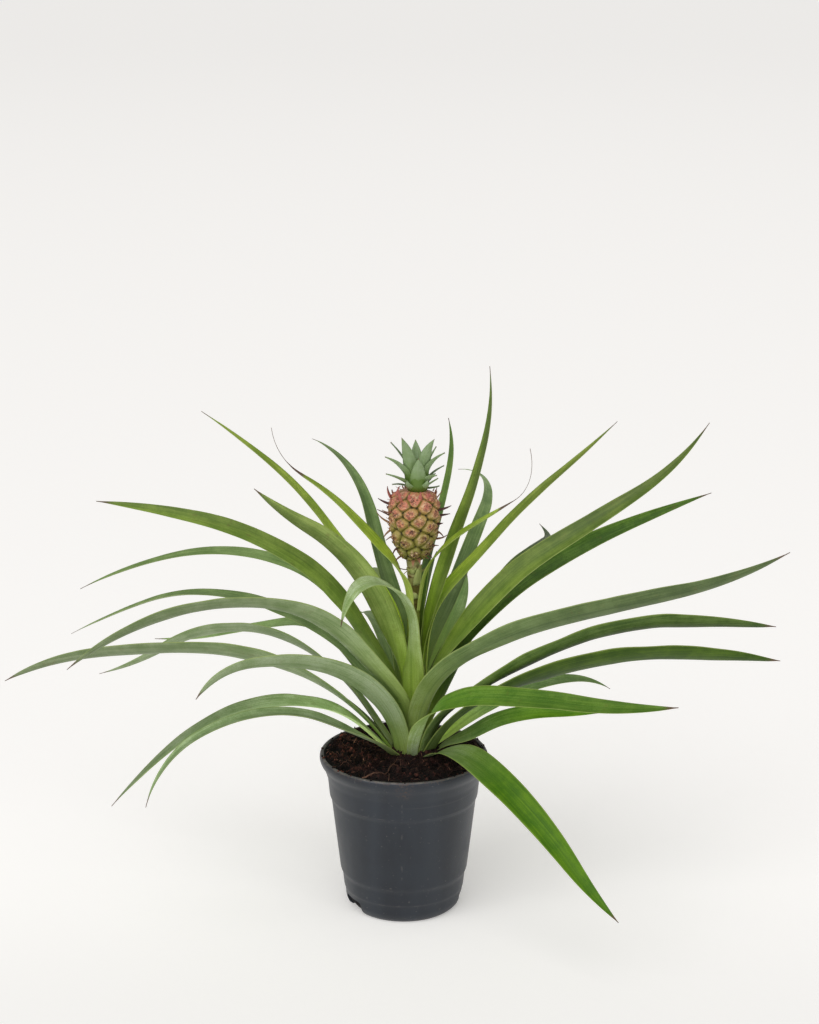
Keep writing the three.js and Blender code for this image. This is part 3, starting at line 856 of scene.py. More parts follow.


# In these rows, fold is painted light on one half of a leaf and painted shade on the other.
LEAVES = (
    Leaf("left_01", 172, 5.3, (169, 170, 167), (88, 78, 46, 55, 39, 31), 244, 13.5, -16, 2.4,
         Tone.LIME, 0.1, pale=60, tints=(1.55, -0.1)),
    Leaf("left_02", 154, 6.4, (194, 194, 199), (89, 78, 71, 56, 33, 44), 204, 18, 70, 3.5,
         Tone.OLIVE, 0.1, pale=70, tints=(0.35, -0.15), stain=0.9, fold=0.25),
    Leaf("left_03", 225, 4.7, (231, 171, 194), (89, 65, 47, 47, 34, 85), 166, 14, -18, 2.1,
         Tone.LIME, 0.0, dry_from=0.745, thread_from=0.86, tints=(0.45, 0.05), fold=0.15),
    Leaf("left_04", 173.4, 7.9, (119, 118, 120), (80, 62, 52, 63, 18, -3), 219, 16, 9, 2,
         Tone.BLUE, 0.55, 0.5, pale=60, tints=(0.05, 0.25), fold=-0.15),
    Leaf("left_05", 142, 7.5, (171, 185, 189), (83, 59, 58, 34, 16, 9), 286, 17.5, -36, 4.1,
         Tone.OLIVE, 0.15, pale=70, tints=(0.3, 0.1), stain=0.8, fold=0.2),
    Leaf("left_06", 132, 8.8, (162, 168, 175), (82, 62, 56, 15, -14, -29), 306, 14, -19, 2.9,
         Tone.SILVER, 0.35, pale=60, tints=(1.15, 0.25), stain=0.3, fold=0.1),
    Leaf("left_07", 126, 9.6, (158, 160, 151), (68, 54, 26, 5, -24, -31), 320, 15.5, -8, 2.7,
         Tone.SILVER, 0.42, tints=(0.2, 0.2)),
    Leaf("left_08", 130.4, 8.8, (242, 202, 166), (83, 50, 51, 11, -20, -42), 315, 20.5, 42, 3.9,
         Tone.SILVER, 0.2, 0.25, pale=120, tints=(0.3, -0.45), stain=0.4),
    Leaf("left_09", 120, 11.4, (145, 151, 149), (70, 52, 44, -16, -19, -8), 256, 14, -21, 3.1,
         Tone.SILVER, 0.62, tints=(0.8, 0.85)),
    Leaf("left_10", 117.8, 14.7, (175, 156, 145), (58, 55, 27, -7, -34, -21), 295, 16.5, 44, 2.6, Tone.SILVER, 0.45),
    Leaf("left_11", 117, 16, (188, 177, 155), (58, 44, 22, -2, -12, -32), 322, 19.5, 47, 4,
         Tone.SILVER, 0.15, tints=(0.1, -0.45), stain=0.6),
    Leaf("left_12", 116, 14.5, (234, 209, 179), (81, 67, 46, 21, -3, -58), 202, 20.5, 46, 4.5,
         Tone.SILVER, 0.55, tints=(0.2, 0.05), stain=0.3),
    Leaf("left_13", 116.2, 17.4, (198, 203, 202), (47, 46, 18, -6, -34, -45), 238, 20.5, -12, 2,
         Tone.SILVER, 0.85, pale=60, face_powder=0.75, tints=(1.4, -0.2), fold=0.25, stain=0.5),
    Leaf("left_14", 116.2, 19.2, (228, 212, 218), (45, 32, 31, 9, -17, -74), 238, 17.5, -11, 2,
         Tone.SILVER, 0.85, face_powder=0.75, tints=(-0.25, 0.3), fold=-0.2, stain=0.5),
    Leaf("left_15", 140, 7.7, (267, 226, 264), (62, 91, 91, 35, 4, -29), 222, 20.5, -24, 2.6,
         Tone.OLIVE, 0.95, 0.12, pale=90, tints=(0.5, 0.85), face_powder=0.95, stain=0.35),
    Leaf("right_01", 178, 5.2, (66, 63, 97), (87, 81, 64, 41, 22, 19), 221, 11, -32, 2.2,
         Tone.FRESH, 0.05, pale=70, tints=(0.1, 0.25)),
    Leaf("right_02", 179.4, 6.8, (10, 16, 11), (89, 78, 72, 69, 77, 97), 220, 15, 28, 2,
         Tone.OLIVE, 0.05, pale=90, tints=(0.6, -0.45), fold=0.35),
    Leaf("right_03", 170, 9.4, (53, 66, 113), (70, 42, 40, 7, -2, -15), 306, 12.5, 26, 2,
         Tone.BLUE, 0.7, 0.45, pale=60, tints=(-0.05, 0.75)),
    Leaf("right_04", 221.8, 5.7, (-55, -33, -45), (80, 76, 45, 35, 34, 111), 172, 10.5, 28, 2.4,
         Tone.LIME, 0.0, dry_from=0.66, thread_from=0.78, tints=(-0.05, 0.3), foot_share=0.28, open_by=0.45),
    Leaf("right_05", 172, 8.8, (22, 17, 17), (89, 84, 43, 46, 37, 41), 234, 14.5, 12, 2.5,
         Tone.LIME, 0.0, pale=90, tints=(1.1, -0.75), fold=0.15),
    Leaf("right_06", 130, 8.7, (27, 49, 100), (59, 60, 46, 3, -13, -2), 312, 14, -9, 2.2,
         Tone.FRESH, 0.05, tints=(0.5, -1.05)),
    Leaf("right_07", 148, 7.4, (-12, 2, -17), (85, 58, 51, 34, 36, 60), 295, 20, 44, 2.5,
         Tone.OLIVE, 0.08, pale=80, tints=(0.2, -0.5), stain=0.3, fold=-0.12),
    Leaf("right_08", 135.8, 8.2, (18, 16, 12), (89, 61, 45, 28, 19, 16), 279, 18.5, 55, 2.6,
         Tone.DEEP, 0.15, tints=(-0.15, 0.4), stain=0.6),
    Leaf("right_09", 130, 10.2, (-81, -9, -33), (71, 58, 30, 18, 20, 35), 331, 20.5, -59, 3.1,
         Tone.FRESH, 0.12, foot_powder=0.35, pale=95, tints=(-0.1, -0.75), stain=0.4),
    Leaf("right_10", 116, 13.4, (-39, 9, 23), (87, 44, 28, 14, -7, -11), 300, 22, -50, 5,
         Tone.DEEP, 0.15, foot_powder=0.5, tints=(-0.15, -0.25), fold=-0.12),
    Leaf("right_11", 115.6, 14.9, (-35, 11, 15), (68, 45, 18, 7, -7, -10), 285, 23.5, -47, 6,
         Tone.DEEP, 0.0, foot_powder=0.4, tints=(-0.7, -0.25)),
    Leaf("right_12", 117.6, 14.4, (22, 32, 31), (25, 33, 18, 6, -8, -37), 165, 13, 39, 2.8,
         Tone.FRESH, 0.75, pale=60, tints=(1.25, 0.35)),
    Leaf("right_13", 116, 16.3, (-93, -48, -12), (46, 54, 34, 10, 2, 9), 261, 19, 31, 4.9,
         Tone.VIVID, 0.3, foot_powder=0.95, pale=80, tints=(0.6, -0.1), stain=0.4, foot_share=0.4, open_by=0.36),
    Leaf("right_14", 116.2, 16.5, (-17, -14, -17), (49, 22, 37, 18, 4, 7), 128, 15.5, 36, 3.2,
         Tone.VIVID, 0.1, foot_powder=0.4, tints=(0.35, 0.4)),
    Leaf("right_15", 116.3, 18.6, (-58, -48, -39), (37, 20, -17, -29, -41, -32), 209, 21.5, 33, 3.2,
         Tone.VIVID, 0.0, foot_powder=0.75, pale=90, tints=(0.1, 0.1), foot_share=0.5, open_by=0.28),
    Leaf("right_16", 154, 12.4, (54, 63, 78), (66, 46, 41, 36, 23, 38), 110, 17.5, 6, 3.9,
         Tone.BLUE, 0.5, 0.35, pale=100, tints=(0.75, 1), fold=0.15),
    Leaf("back_01", 130, 10, (106, 102, 100), (84, 66, 48, 22, 0, -20), 190, 17, 0, 2.4, Tone.OLIVE, 0.15),
    Leaf("back_02", 119, 9.9, (112, 106, 104), (80, 62, 38, 14, -10, -30), 180, 18, 0, 2.4, Tone.SILVER, 0.25),
    Leaf("back_03", 118, 11, (76, 75, 78), (70, 50, 30, 8, -14, -34), 185, 18, 0, 2.4, Tone.FRESH, 0.15),
)


INNER_LEAVES = (
    Leaf("inner_01", 196, 5, (60, 45, 40), (88, 82, 76, 73, 68, 60), 66, 10, 0, 3, Tone.BLUE, 0.45, tints=(0.35, 0.2)),
    Leaf("inner_02", 200, 5, (20, 30, 30), (89, 86, 84, 82, 80, 76), 58, 9, 0, 3, Tone.VIVID, 0.0, tints=(0.2, 0.2)),
)


@dataclass(frozen=True)
class Rosette:
    """All the long leaves, and two short young ones close to the stalk."""

    leaves: tuple[Leaf, ...] = LEAVES
    inner: tuple[Leaf, ...] = INNER_LEAVES

    def build(self, effects: Effects) -> list[Item]:
        """Makes each leaf and dresses it in its green.

        Args:
            effects: The shared shader groups.

        Returns:
            The leaves.
        """
        finishes = {tone: tone.value.material(effects) for tone in Tone}
        nodes = [(leaf, ["leaf_" + leaf.name]) for leaf in self.leaves] + [(leaf, []) for leaf in self.inner]
        return [
            leaf.surface().place("blade_" + leaf.name, finishes[leaf.tone], "leaf_green", *stands_for)
            for leaf, stands_for in nodes
        ]


@dataclass
class SmallBlades:
    """Many small blades, each from a point, with its own heading, lean from upright, curl, length and width.

    Angles are radians. The fields down to width, and sway, twist and shade where they aren't one number for all, hold
    one number, or one point, for each blade.
    """

    start: np.ndarray
    heading: np.ndarray
    lean: np.ndarray
    curl: np.ndarray
    length: np.ndarray
    width: np.ndarray
    thick: float
    keel: float
    point: float = 1.6
    stations: int = 8
    across: int = 5
    sway: Numbers = 0.0
    twist: Numbers = 0.0
    shade: Numbers = 0.0

    TIP_HALF = 0.12
    EDGE_THIN = 0.7

    @classmethod
    def from_rows(
        cls, rows: np.ndarray, x: float, r: Numbers, z: np.ndarray, **more: Numbers
    ) -> "SmallBlades":
        """Blades round an upright axis, from the rows of a table.

        Args:
            rows: Rows of a heading, a height, a lean from upright, a curl, a length and a width, angles in degrees.
            x: Where the axis stands.
            r: How far the blades' feet are from it.
            z: The heights of their feet.
            more: Further fields.

        Returns:
            The blades.
        """
        heading, lean, curl = np.radians(rows[:, [0, 2, 3]]).T
        start = round_points(x, r, heading, z)
        return cls(start, heading, lean, curl, length=rows[:, 4], width=rows[:, 5], **more)

    def each(self, part: Numbers) -> np.ndarray:
        """A field as one number for each blade, to go with arrays over blade, station and place in the ring."""
        return np.broadcast_to(np.asarray(part, float), (len(self.length),))[:, None, None]

    def surface(self) -> Surface:
        """Bends each blade's middle line by its curl and hangs a keeled section on it, narrowing to its point.

        Station s has the lean plus curl · s, and the half width is half of the width · (1 - s^point). The twist turns
        the section about the middle line, and the shade is carried as a value.

        Returns:
            All the blades in one form, with values along, edge, across, blade and shade.
        """
        count = len(self.length)
        share = np.linspace(0.0, 1.0, self.stations + 1)
        lean = self.lean[:, None] + self.curl[:, None] * share
        turn = self.heading[:, None] + self.each(self.sway)[:, 0] * share
        along = np.stack([np.sin(lean) * np.cos(turn), np.sin(lean) * np.sin(turn), np.cos(lean)], axis=-1)
        steps = along[:, :-1] * (self.length / self.stations)[:, None, None]
        line = self.start[:, None] + np.concatenate([np.zeros((count, 1, 3)), np.cumsum(steps, axis=1)], axis=1)
        side = np.stack([-np.sin(turn), np.cos(turn), np.zeros_like(turn)], axis=-1)
        out = np.cross(side, along)
        cos, sin = np.cos(self.each(self.twist)), np.sin(self.each(self.twist))
        side, out = side * cos + out * sin, out * cos - side * sin
        half = np.maximum((self.width / 2.0)[:, None] * (1.0 - share**self.point), self.TIP_HALF)
        u = np.linspace(-1.0, 1.0, self.across)
        ring_u = np.concatenate([u, u[::-1]])
        lower = np.concatenate([np.full(self.across, -0.5), np.full(self.across, 0.5)])
        thick = self.thick * lower * (1.0 - self.EDGE_THIN * np.abs(ring_u) ** 2)
        fold = self.keel * half[..., None] * (1.0 - np.abs(ring_u))
        rings = (
            line[:, :, None]
            + side[:, :, None] * (ring_u * half[..., None])[..., None]
            + out[:, :, None] * (thick + fold)[..., None]
        )
        shape = rings.shape[:3]
        values = {
            "along": np.broadcast_to(share[None, :, None], shape),
            "edge": np.broadcast_to(np.abs(ring_u), shape),
            "across": ring_u * np.broadcast_to(half[..., None], shape),
            "blade": np.broadcast_to(self.each(np.linspace(0.0, 1.0, count)), shape),
            "shade": np.broadcast_to(self.each(self.shade), shape),
        }
        return blade_surface(rings, values)


@dataclass(frozen=True)
class FruitFinish:
    """The fruit's skin: olive eyes that turn coral towards the top, with crumpled pink middles, painted pale
    highlights round them and brown corners.
    """

    low: Colour = srgb(142, 142, 62)
    high: Colour = srgb(194, 164, 96)
    blush: Colour = srgb(222, 136, 114)
    painted_glint: Colour = srgb(228, 198, 156)
    dried: Colour = srgb(84, 34, 34)
    groove: Colour = srgb(108, 106, 26)
    corner: Colour = srgb(44, 34, 14)
    patch_scale: float = 380.0
    crumple_scale: float = 470.0
    glint_scale: float = 430.0
    crack_scale: float = 390.0

    def material(self, effects: Effects) -> Material:
        """Builds the skin.

        Args:
            effects: The shared shader groups.

        Returns:
            The material.
        """
        made, wires, shader = new_material("fruit_skin")
        rise, border, centre = wires.value("rise"), wires.value("border"), wires.value("centre")
        patch = effects.patches(wires, self.patch_scale, 0.36, 0.64)
        crumple = effects.patches(wires, self.crumple_scale, 0.5, 0.6)
        glint = effects.patches(wires, self.glint_scale, 0.52, 0.6)
        own_rise = wires.plus(rise, wires.times(wires.value("eye"), 0.22))
        pink = wires.plus(wires.times(wires.ramp(centre, 4.4, 1.6), 0.9), wires.ramp(rise, 0.66, 0.95, 0.0, 0.65))
        pink = wires.times(pink, wires.ramp(own_rise, 0.1, 1.0, 0.25, 1.0), wires.share(patch, 0.95, 0.5))
        cracks = wires.band(wires.noise(wires.place(), self.crack_scale, 2.0), 0.5, 0.04)
        spot = wires.times(wires.ramp(centre, 4.4, 2.0), wires.most(wires.times(crumple, 0.7), cracks))
        corners = wires.ramp(wires.value("corner"), 2.6, 0.6)
        colour = wires.layers(
            wires.mix(wires.ramp(rise, 0.1, 0.8), self.low, self.high),
            (wires.times(patch, 0.35), self.groove),
            (wires.maths("MINIMUM", pink, 0.92), self.blush),
            # Painted highlights: pale yellowish glints round the eyes' middles.
            (wires.times(wires.ramp(centre, 5.2, 2.4, 0.1, 0.75), glint), self.painted_glint),
            (wires.times(spot, 0.85), self.dried),
            (wires.ramp(border, 1.9, 0.1, 0.0, 0.88), self.groove),
            (wires.times(corners, wires.ramp(patch, 0.0, 0.8, 0.35, 1.0)), self.corner),
        )
        wires.lead(colour, shader, "Base Color")
        wires.lead(wires.ramp(border, 0.0, 1.6, 0.85, 0.42), shader, "Roughness")
        bump(wires, shader, effects.unevenness(wires, 600.0, 1800.0), 0.0009, 0.8)
        return made


@dataclass(frozen=True)
class BractFinish:
    """Dry papery tips: paler at the foot, and by their shade from purplish brown through tan to coral."""

    name: str
    foot: Colour
    dark: Colour = srgb(92, 58, 58)
    tan: Colour = srgb(168, 122, 88)
    coral: Colour = srgb(184, 104, 92)

    def material(self, effects: Effects) -> Material:
        """Builds the finish.

        Args:
            effects: The shared shader groups.

        Returns:
            The material.
        """
        made, wires, shader = new_material(self.name)
        patch = effects.patches(wires, 500.0, 0.35, 0.65)
        share = wires.plus(wires.value("along"), wires.times(patch, 0.3))
        shade = wires.value("shade")
        tip = wires.layers(
            self.dark,
            (wires.ramp(shade, 0.1, 0.45), self.tan),
            (wires.ramp(shade, 0.55, 0.9), self.coral),
            (wires.ramp(share, 0.75, 1.15, 0.0, 0.75), self.dark),
        )
        wires.lead(wires.mix(wires.ramp(share, 0.05, 0.5), self.foot, tip), shader, "Base Color")
        shader.inputs["Roughness"].default_value = 0.7
        return made


@dataclass(frozen=True)
class ShortTips:
    """One kind of short dry tip on the fruit, with ranges in millimetres and degrees.

    A share of the eyes carries as many as each says, beside the eye by that share of an eye's width. They start by
    drop below its middle, and by out above the skin, or above the eyes where on_eye is 1.
    """

    share: float
    each: int
    beside: float
    drop: float
    on_eye: float
    out: float
    lean: tuple[float, float]
    curl: tuple[float, float]
    length: tuple[float, float]
    width: float


EYE_SCALES = ShortTips(1.0, 4, 0.0, 0.6, 1.0, -0.5, (15, 60), (-60, 30), (1.6, 3.2), 1.6)
GROOVE_TIPS = ShortTips(0.6, 1, 0.5, 0.0, 0.0, -1.0, (50, 100), (-120, 25), (4.0, 7.0), 1.5)


@dataclass(frozen=True)
class Fruit:
    """The small barrel of fused eyes and its dried bract tips.

    front_eyes holds the headings, in degrees, and the heights of the eyes that face the front. Each row of long_tips
    is a heading, a height, a lean from upright, a curl, a length, a width and a shade.
    """

    x: float = 7.3
    base: float = 256.0
    top: float = 308.0
    radius: float = 14.9
    neck: float = 7.5
    waist: float = 0.7
    around: int = 7
    rows: int = 9
    first_row: float = 305.6
    row_pitch: float = 5.95
    stagger: float = 0.555
    turn: float = math.radians(-88.0)
    eye_height: float = 3.4
    eye_reach: float = 5.8
    groove: float = 3.4
    clear_of_front: float = 7.0
    points_around: int = 300
    rings: int = 170
    front_eyes: Rows = (
        (-90, 304.6), (-119, 300.5), (-58, 299.7), (-100, 294.6), (-78, 289.2), (-124, 287.6), (-46, 284.5),
        (-99, 281.6), (-66, 276), (-116, 272.8), (-38, 271.2), (-87, 264.4),
    )
    long_tips: Rows = (
        (176, 300, 50, -50, 12, 5.4, 1), (-128, 301, 37, -40, 14, 3.6, 1), (186, 298, 76, -20, 12.6, 4.8, 0),
        (190, 289, 57, 10, 14, 3, 0.2), (184, 284, 73, -40, 16, 3.8, 0.45), (182, 281, 103, 60, 12, 4, 0.45),
        (172, 271, 62, -100, 11, 3.2, 0.45), (178, 266, 80, -60, 8, 3.4, 0.1), (-4, 294, 84, -20, 12.4, 4.8, 0),
        (4, 289, 80, 10, 11.8, 4.6, 0), (-6, 283, 66, 20, 7.4, 5.2, 0), (0, 274, 107, -60, 12.4, 3.6, 0.3),
        (6, 279, 92, 70, 11, 3.4, 0.3), (4, 268, 85, 20, 8, 3.4, 0.3), (-8, 299, 25, 20, 11, 2.6, 0.3),
        (-36, 299, 6, -20, 11, 3.4, 1), (204, 302, 20, -70, 11, 3.4, 0.9), (192, 293, 96, -40, 9, 2.4, 0.5),
        (188, 286, 60, -110, 11, 3.6, 0.55), (180, 276, 100, 40, 9, 3, 0.4), (170, 268, 60, -80, 9, 2.8, 0.2),
        (-166, 262, 100, 50, 9, 3, 0.3), (-150, 276, 70, -90, 6, 3, 0.4), (-70, 262, 100, 40, 8, 3, 0.35),
        (-95, 260, 95, 60, 8, 2.6, 0.4), (-20, 266, 84, -50, 8, 3, 0.3), (14, 284, 76, -70, 8, 3, 0.2),
        (-72, 303, 40, -60, 8, 3.4, 0.9), (-104, 303, 40, -60, 7, 3.2, 0.9), (-46, 301, 22, -50, 9, 3.6, 0.8),
        (-150, 264, 76, -30, 7, 2.6, 0.2), (-35, 262, 95, 20, 6, 2.4, 0.3), (30, 299, 40, -20, 10, 2.6, 0.9),
        (60, 303, 50, -40, 9, 2.4, 0.9), (85, 292, 70, -30, 9, 2.4, 0), (110, 301, 55, -50, 10, 2.6, 0.9),
        (130, 287, 75, -20, 9, 2.4, 0.1), (70, 279, 85, -60, 9, 2.4, 0.5), (105, 272, 80, -30, 8, 2.2, 0.4),
        (145, 276, 70, -80, 10, 2.4, 0.1), (184, 278, 60, -170, 12, 3.4, 0.35), (176, 272, 20, -150, 11, 3.6, 0.4),
        (168, 265, 30, -120, 9, 3.6, 0.3), (190, 268, 100, 90, 10, 3, 0.2), (160, 261, 60, -100, 8, 3.4, 0.2),
        (-6, 276, 40, -170, 11, 3.2, 0.35), (2, 270, 60, -160, 10, 3.4, 0.3), (-14, 262, 60, 100, 8, 3, 0.2),
    )

    EYE_ARC = 16.0
    EYE_SEED, SHADE_SEED, SWAY_SEED, TIP_SEED = 7, 9, 5, 21
    CRUMPLE_SEED, UNEVEN_SEED = 13, 11

    def height_share(self, z: np.ndarray) -> np.ndarray:
        """Heights as shares of the fruit's height."""
        return (z - self.base) / (self.top - self.base)

    def barrel(self, t: np.ndarray) -> np.ndarray:
        """The barrel's radius: a full curve below the waist, and above it a rounder shoulder up to the neck.

        Args:
            t: Shares of the height.

        Returns:
            Radii in millimetres, without the eyes.
        """
        lower = self.radius * np.sqrt(held(1.0 - (np.clip(self.waist - t, 0.0, None) / self.waist) ** 1.7))
        over = held((t - self.waist) / (1.0 - self.waist))
        upper = blend(self.neck, self.radius, (1.0 - over**2.4) ** 0.55)
        return np.where(t < self.waist, lower, upper)

    def eyes(self) -> tuple[np.ndarray, np.ndarray]:
        """Where the eyes are: the front ones, and elsewhere rows one pitch apart, each turned on by the stagger.

        Returns:
            The angles in radians and the heights.
        """
        row, k = np.meshgrid(np.arange(self.rows), np.arange(self.around), indexing="ij")
        rng = np.random.default_rng(self.EYE_SEED)
        angle = self.turn + (k + self.stagger * row) * 2.0 * np.pi / self.around + rng.normal(0.0, 0.055, k.shape)
        height = self.first_row - self.row_pitch * row + rng.normal(0.0, 0.55, k.shape)
        angle, height = angle.ravel(), height.ravel()
        front = np.array(self.front_eyes) * [np.pi / 180.0, 1.0]
        aside = np.angle(np.exp(1j * (angle[:, None] - front[:, 0]))) * self.EYE_ARC
        keep = np.hypot(aside, height[:, None] - front[:, 1]).min(axis=1) > self.clear_of_front
        return np.concatenate([front[:, 0], angle[keep]]), np.concatenate([front[:, 1], height[keep]])

    def surface(self) -> Surface:
        """The skin: the barrel with a rise for each eye, which falls into a groove where two eyes are equally near.

        With a the distance to the nearest eye's middle and b that to the next, the rise is eye_height times
        0.5 · S((b - a) / groove)^0.75 + 0.5 · (1 - (a / eye_reach)²), where S is the S curve. Noise makes the whole
        uneven and crumples the eyes' middles.

        Returns:
            The closed skin, with the values rise, border, corner, centre and eye.
        """
        t, angle = np.meshgrid(np.linspace(0.004, 1.0, self.rings), even_angles(self.points_around), indexing="ij")
        radius = self.barrel(t)
        z = blend(self.base, self.top, t)
        eye_angle, eye_z = self.eyes()
        gap = np.angle(np.exp(1j * (angle[..., None] - eye_angle)))
        wide = np.maximum(radius, 9.0)[..., None]
        distance = np.hypot(gap * wide, (z[..., None] - eye_z) * 1.05)
        order = np.argsort(distance, axis=-1)
        nearest = np.take_along_axis(distance, order[..., :3], axis=-1)
        a, b = nearest[..., 0], nearest[..., 1]
        domed = held(1.0 - (a / self.eye_reach) ** 2)
        rise = 0.5 * smooth((b - a) / self.groove) ** 0.75 + 0.5 * domed
        ends = smooth(t * 9.0) * smooth((1.0 - t) * 14.0)
        place = round_points(0.0, radius, angle, z)
        crumpled = 1.7 * np.exp(-((a / 3.0) ** 2)) * rough_noise(place, 1.5, 3, self.CRUMPLE_SEED)
        uneven = 0.35 * rough_noise(place, 2.6, 3, self.UNEVEN_SEED) + crumpled
        r = radius + (self.eye_height * rise + uneven) * ends
        rings = round_points(self.x, r, angle, z)
        own = np.random.default_rng(self.SHADE_SEED).uniform(-1.0, 1.0, len(eye_z))
        values = {"rise": t, "border": b - a, "corner": nearest[..., 2] - a, "centre": a, "eye": own[order[..., 0]]}
        return capped_rings(rings, values)

    def long_bracts(self) -> Surface:
        """The long dry tips that stand out between the eyes, from the table long_tips.

        Returns:
            The tips in one form.
        """
        rows = np.array(self.long_tips, float)
        r = self.barrel(self.height_share(rows[:, 1])) - 1.0
        sway = np.random.default_rng(self.SWAY_SEED).normal(0.0, 0.2, len(rows))
        return SmallBlades.from_rows(
            rows, self.x, r, rows[:, 1], thick=0.5, keel=0.5, point=2.2, stations=14, sway=sway, shade=rows[:, 6]
        ).surface()

    def short_bracts(self, kind: ShortTips, rng: np.random.Generator) -> Surface:
        """Short dry tips of one kind, each with sizes of its own between the kind's limits.

        Args:
            kind: Where they grow and how large they are.
            rng: Where the draws come from.

        Returns:
            The tips in one form.
        """
        angle, z = self.eyes()
        keep = (z > self.base + 3.0) & (z < self.top - 1.0)
        angle, z = angle[keep], z[keep]
        pick = np.repeat(np.flatnonzero(rng.random(len(z)) < kind.share), kind.each)
        n = len(pick)
        turn = angle[pick] + kind.beside * 2.0 * np.pi / self.around + rng.normal(0.0, 0.1, n)
        height = z[pick] - kind.drop + rng.normal(0.0, 1.2, n)
        t = np.clip(self.height_share(height), 0.02, 0.98)
        return SmallBlades(
            start=round_points(self.x, self.barrel(t) + self.eye_height * kind.on_eye + kind.out, turn, height),
            heading=turn,
            lean=np.radians(rng.uniform(*kind.lean, n)),
            curl=np.radians(rng.uniform(*kind.curl, n)),
            length=rng.uniform(*kind.length, n),
            width=rng.uniform(0.7, 1.0, n) * kind.width,
            thick=0.3,
            keel=0.35,
            point=2.4,
            sway=rng.normal(0.0, 0.7, n),
            shade=held(rng.normal(0.32, 0.28, n) + 0.25 * (height - 285.0) / 20.0),
            stations=7,
            across=3,
        ).surface()

    def bracts(self) -> Surface:
        """The long tips, the small scales over the eyes' middles and the short tips from the grooves, in one form."""
        rng = np.random.default_rng(self.TIP_SEED)
        return Surface.joined([self.long_bracts(), *(self.short_bracts(k, rng) for k in (EYE_SCALES, GROOVE_TIPS))])

    def build(self, effects: Effects) -> list[Item]:
        """Makes the skin and the bract tips.

        Args:
            effects: The shared shader groups.

        Returns:
            The pieces.
        """
        skin = self.surface().place("fruit_eyes", FruitFinish().material(effects), "fruit_skin", "fruit")
        dry = BractFinish("bract_dry", srgb(176, 124, 92)).material(effects)
        tips = self.bracts().place("fruit_bracts", dry, "fruit_skin")
        return [skin, tips]


@dataclass(frozen=True)
class CrownFinish:
    """Grey-green crown leaves with a pale bloom, greener feet, brownish points and darker thin leaves."""

    foot: Colour = srgb(84, 114, 28)
    skin: Colour = srgb(118, 146, 84)
    bloom: Colour = srgb(152, 172, 136)
    rim: Colour = srgb(100, 120, 70)
    thin: Colour = srgb(72, 92, 58)
    point: Colour = srgb(116, 92, 72)

    def material(self, effects: Effects) -> Material:
        """Builds the finish.

        Args:
            effects: The shared shader groups.

        Returns:
            The material.
        """
        made, wires, shader = new_material("crown_leaf")
        patch = effects.patches(wires, 260.0, 0.35, 0.65)
        along = wires.value("along")
        streaks = wires.point(wires.times(wires.value("across"), 1.6), wires.times(along, 1.5), wires.value("blade"))
        streak = wires.noise(streaks, 1.0, 2.0)
        haze = wires.ramp(along, 0.2, 0.62, 0.05, 0.78)
        haze = wires.times(haze, wires.share(patch, 0.55, 1.0), wires.ramp(streak, 0.3, 0.7, 0.6, 1.0))
        colour = wires.layers(
            self.foot,
            (wires.ramp(along, 0.05, 0.45), self.skin),
            (haze, self.bloom),
            (wires.times(wires.value("shade"), 0.6), self.thin),
            (wires.ramp(wires.value("edge"), 0.8, 1.0, 0.0, 0.35), self.rim),
            (wires.ramp(along, 0.93, 1.0, 0.0, 0.7), self.point),
        )
        wires.lead(colour, shader, "Base Color")
        shader.inputs["Roughness"].default_value = 0.55
        bump(wires, shader, streak, 0.0004, 0.5)
        return made


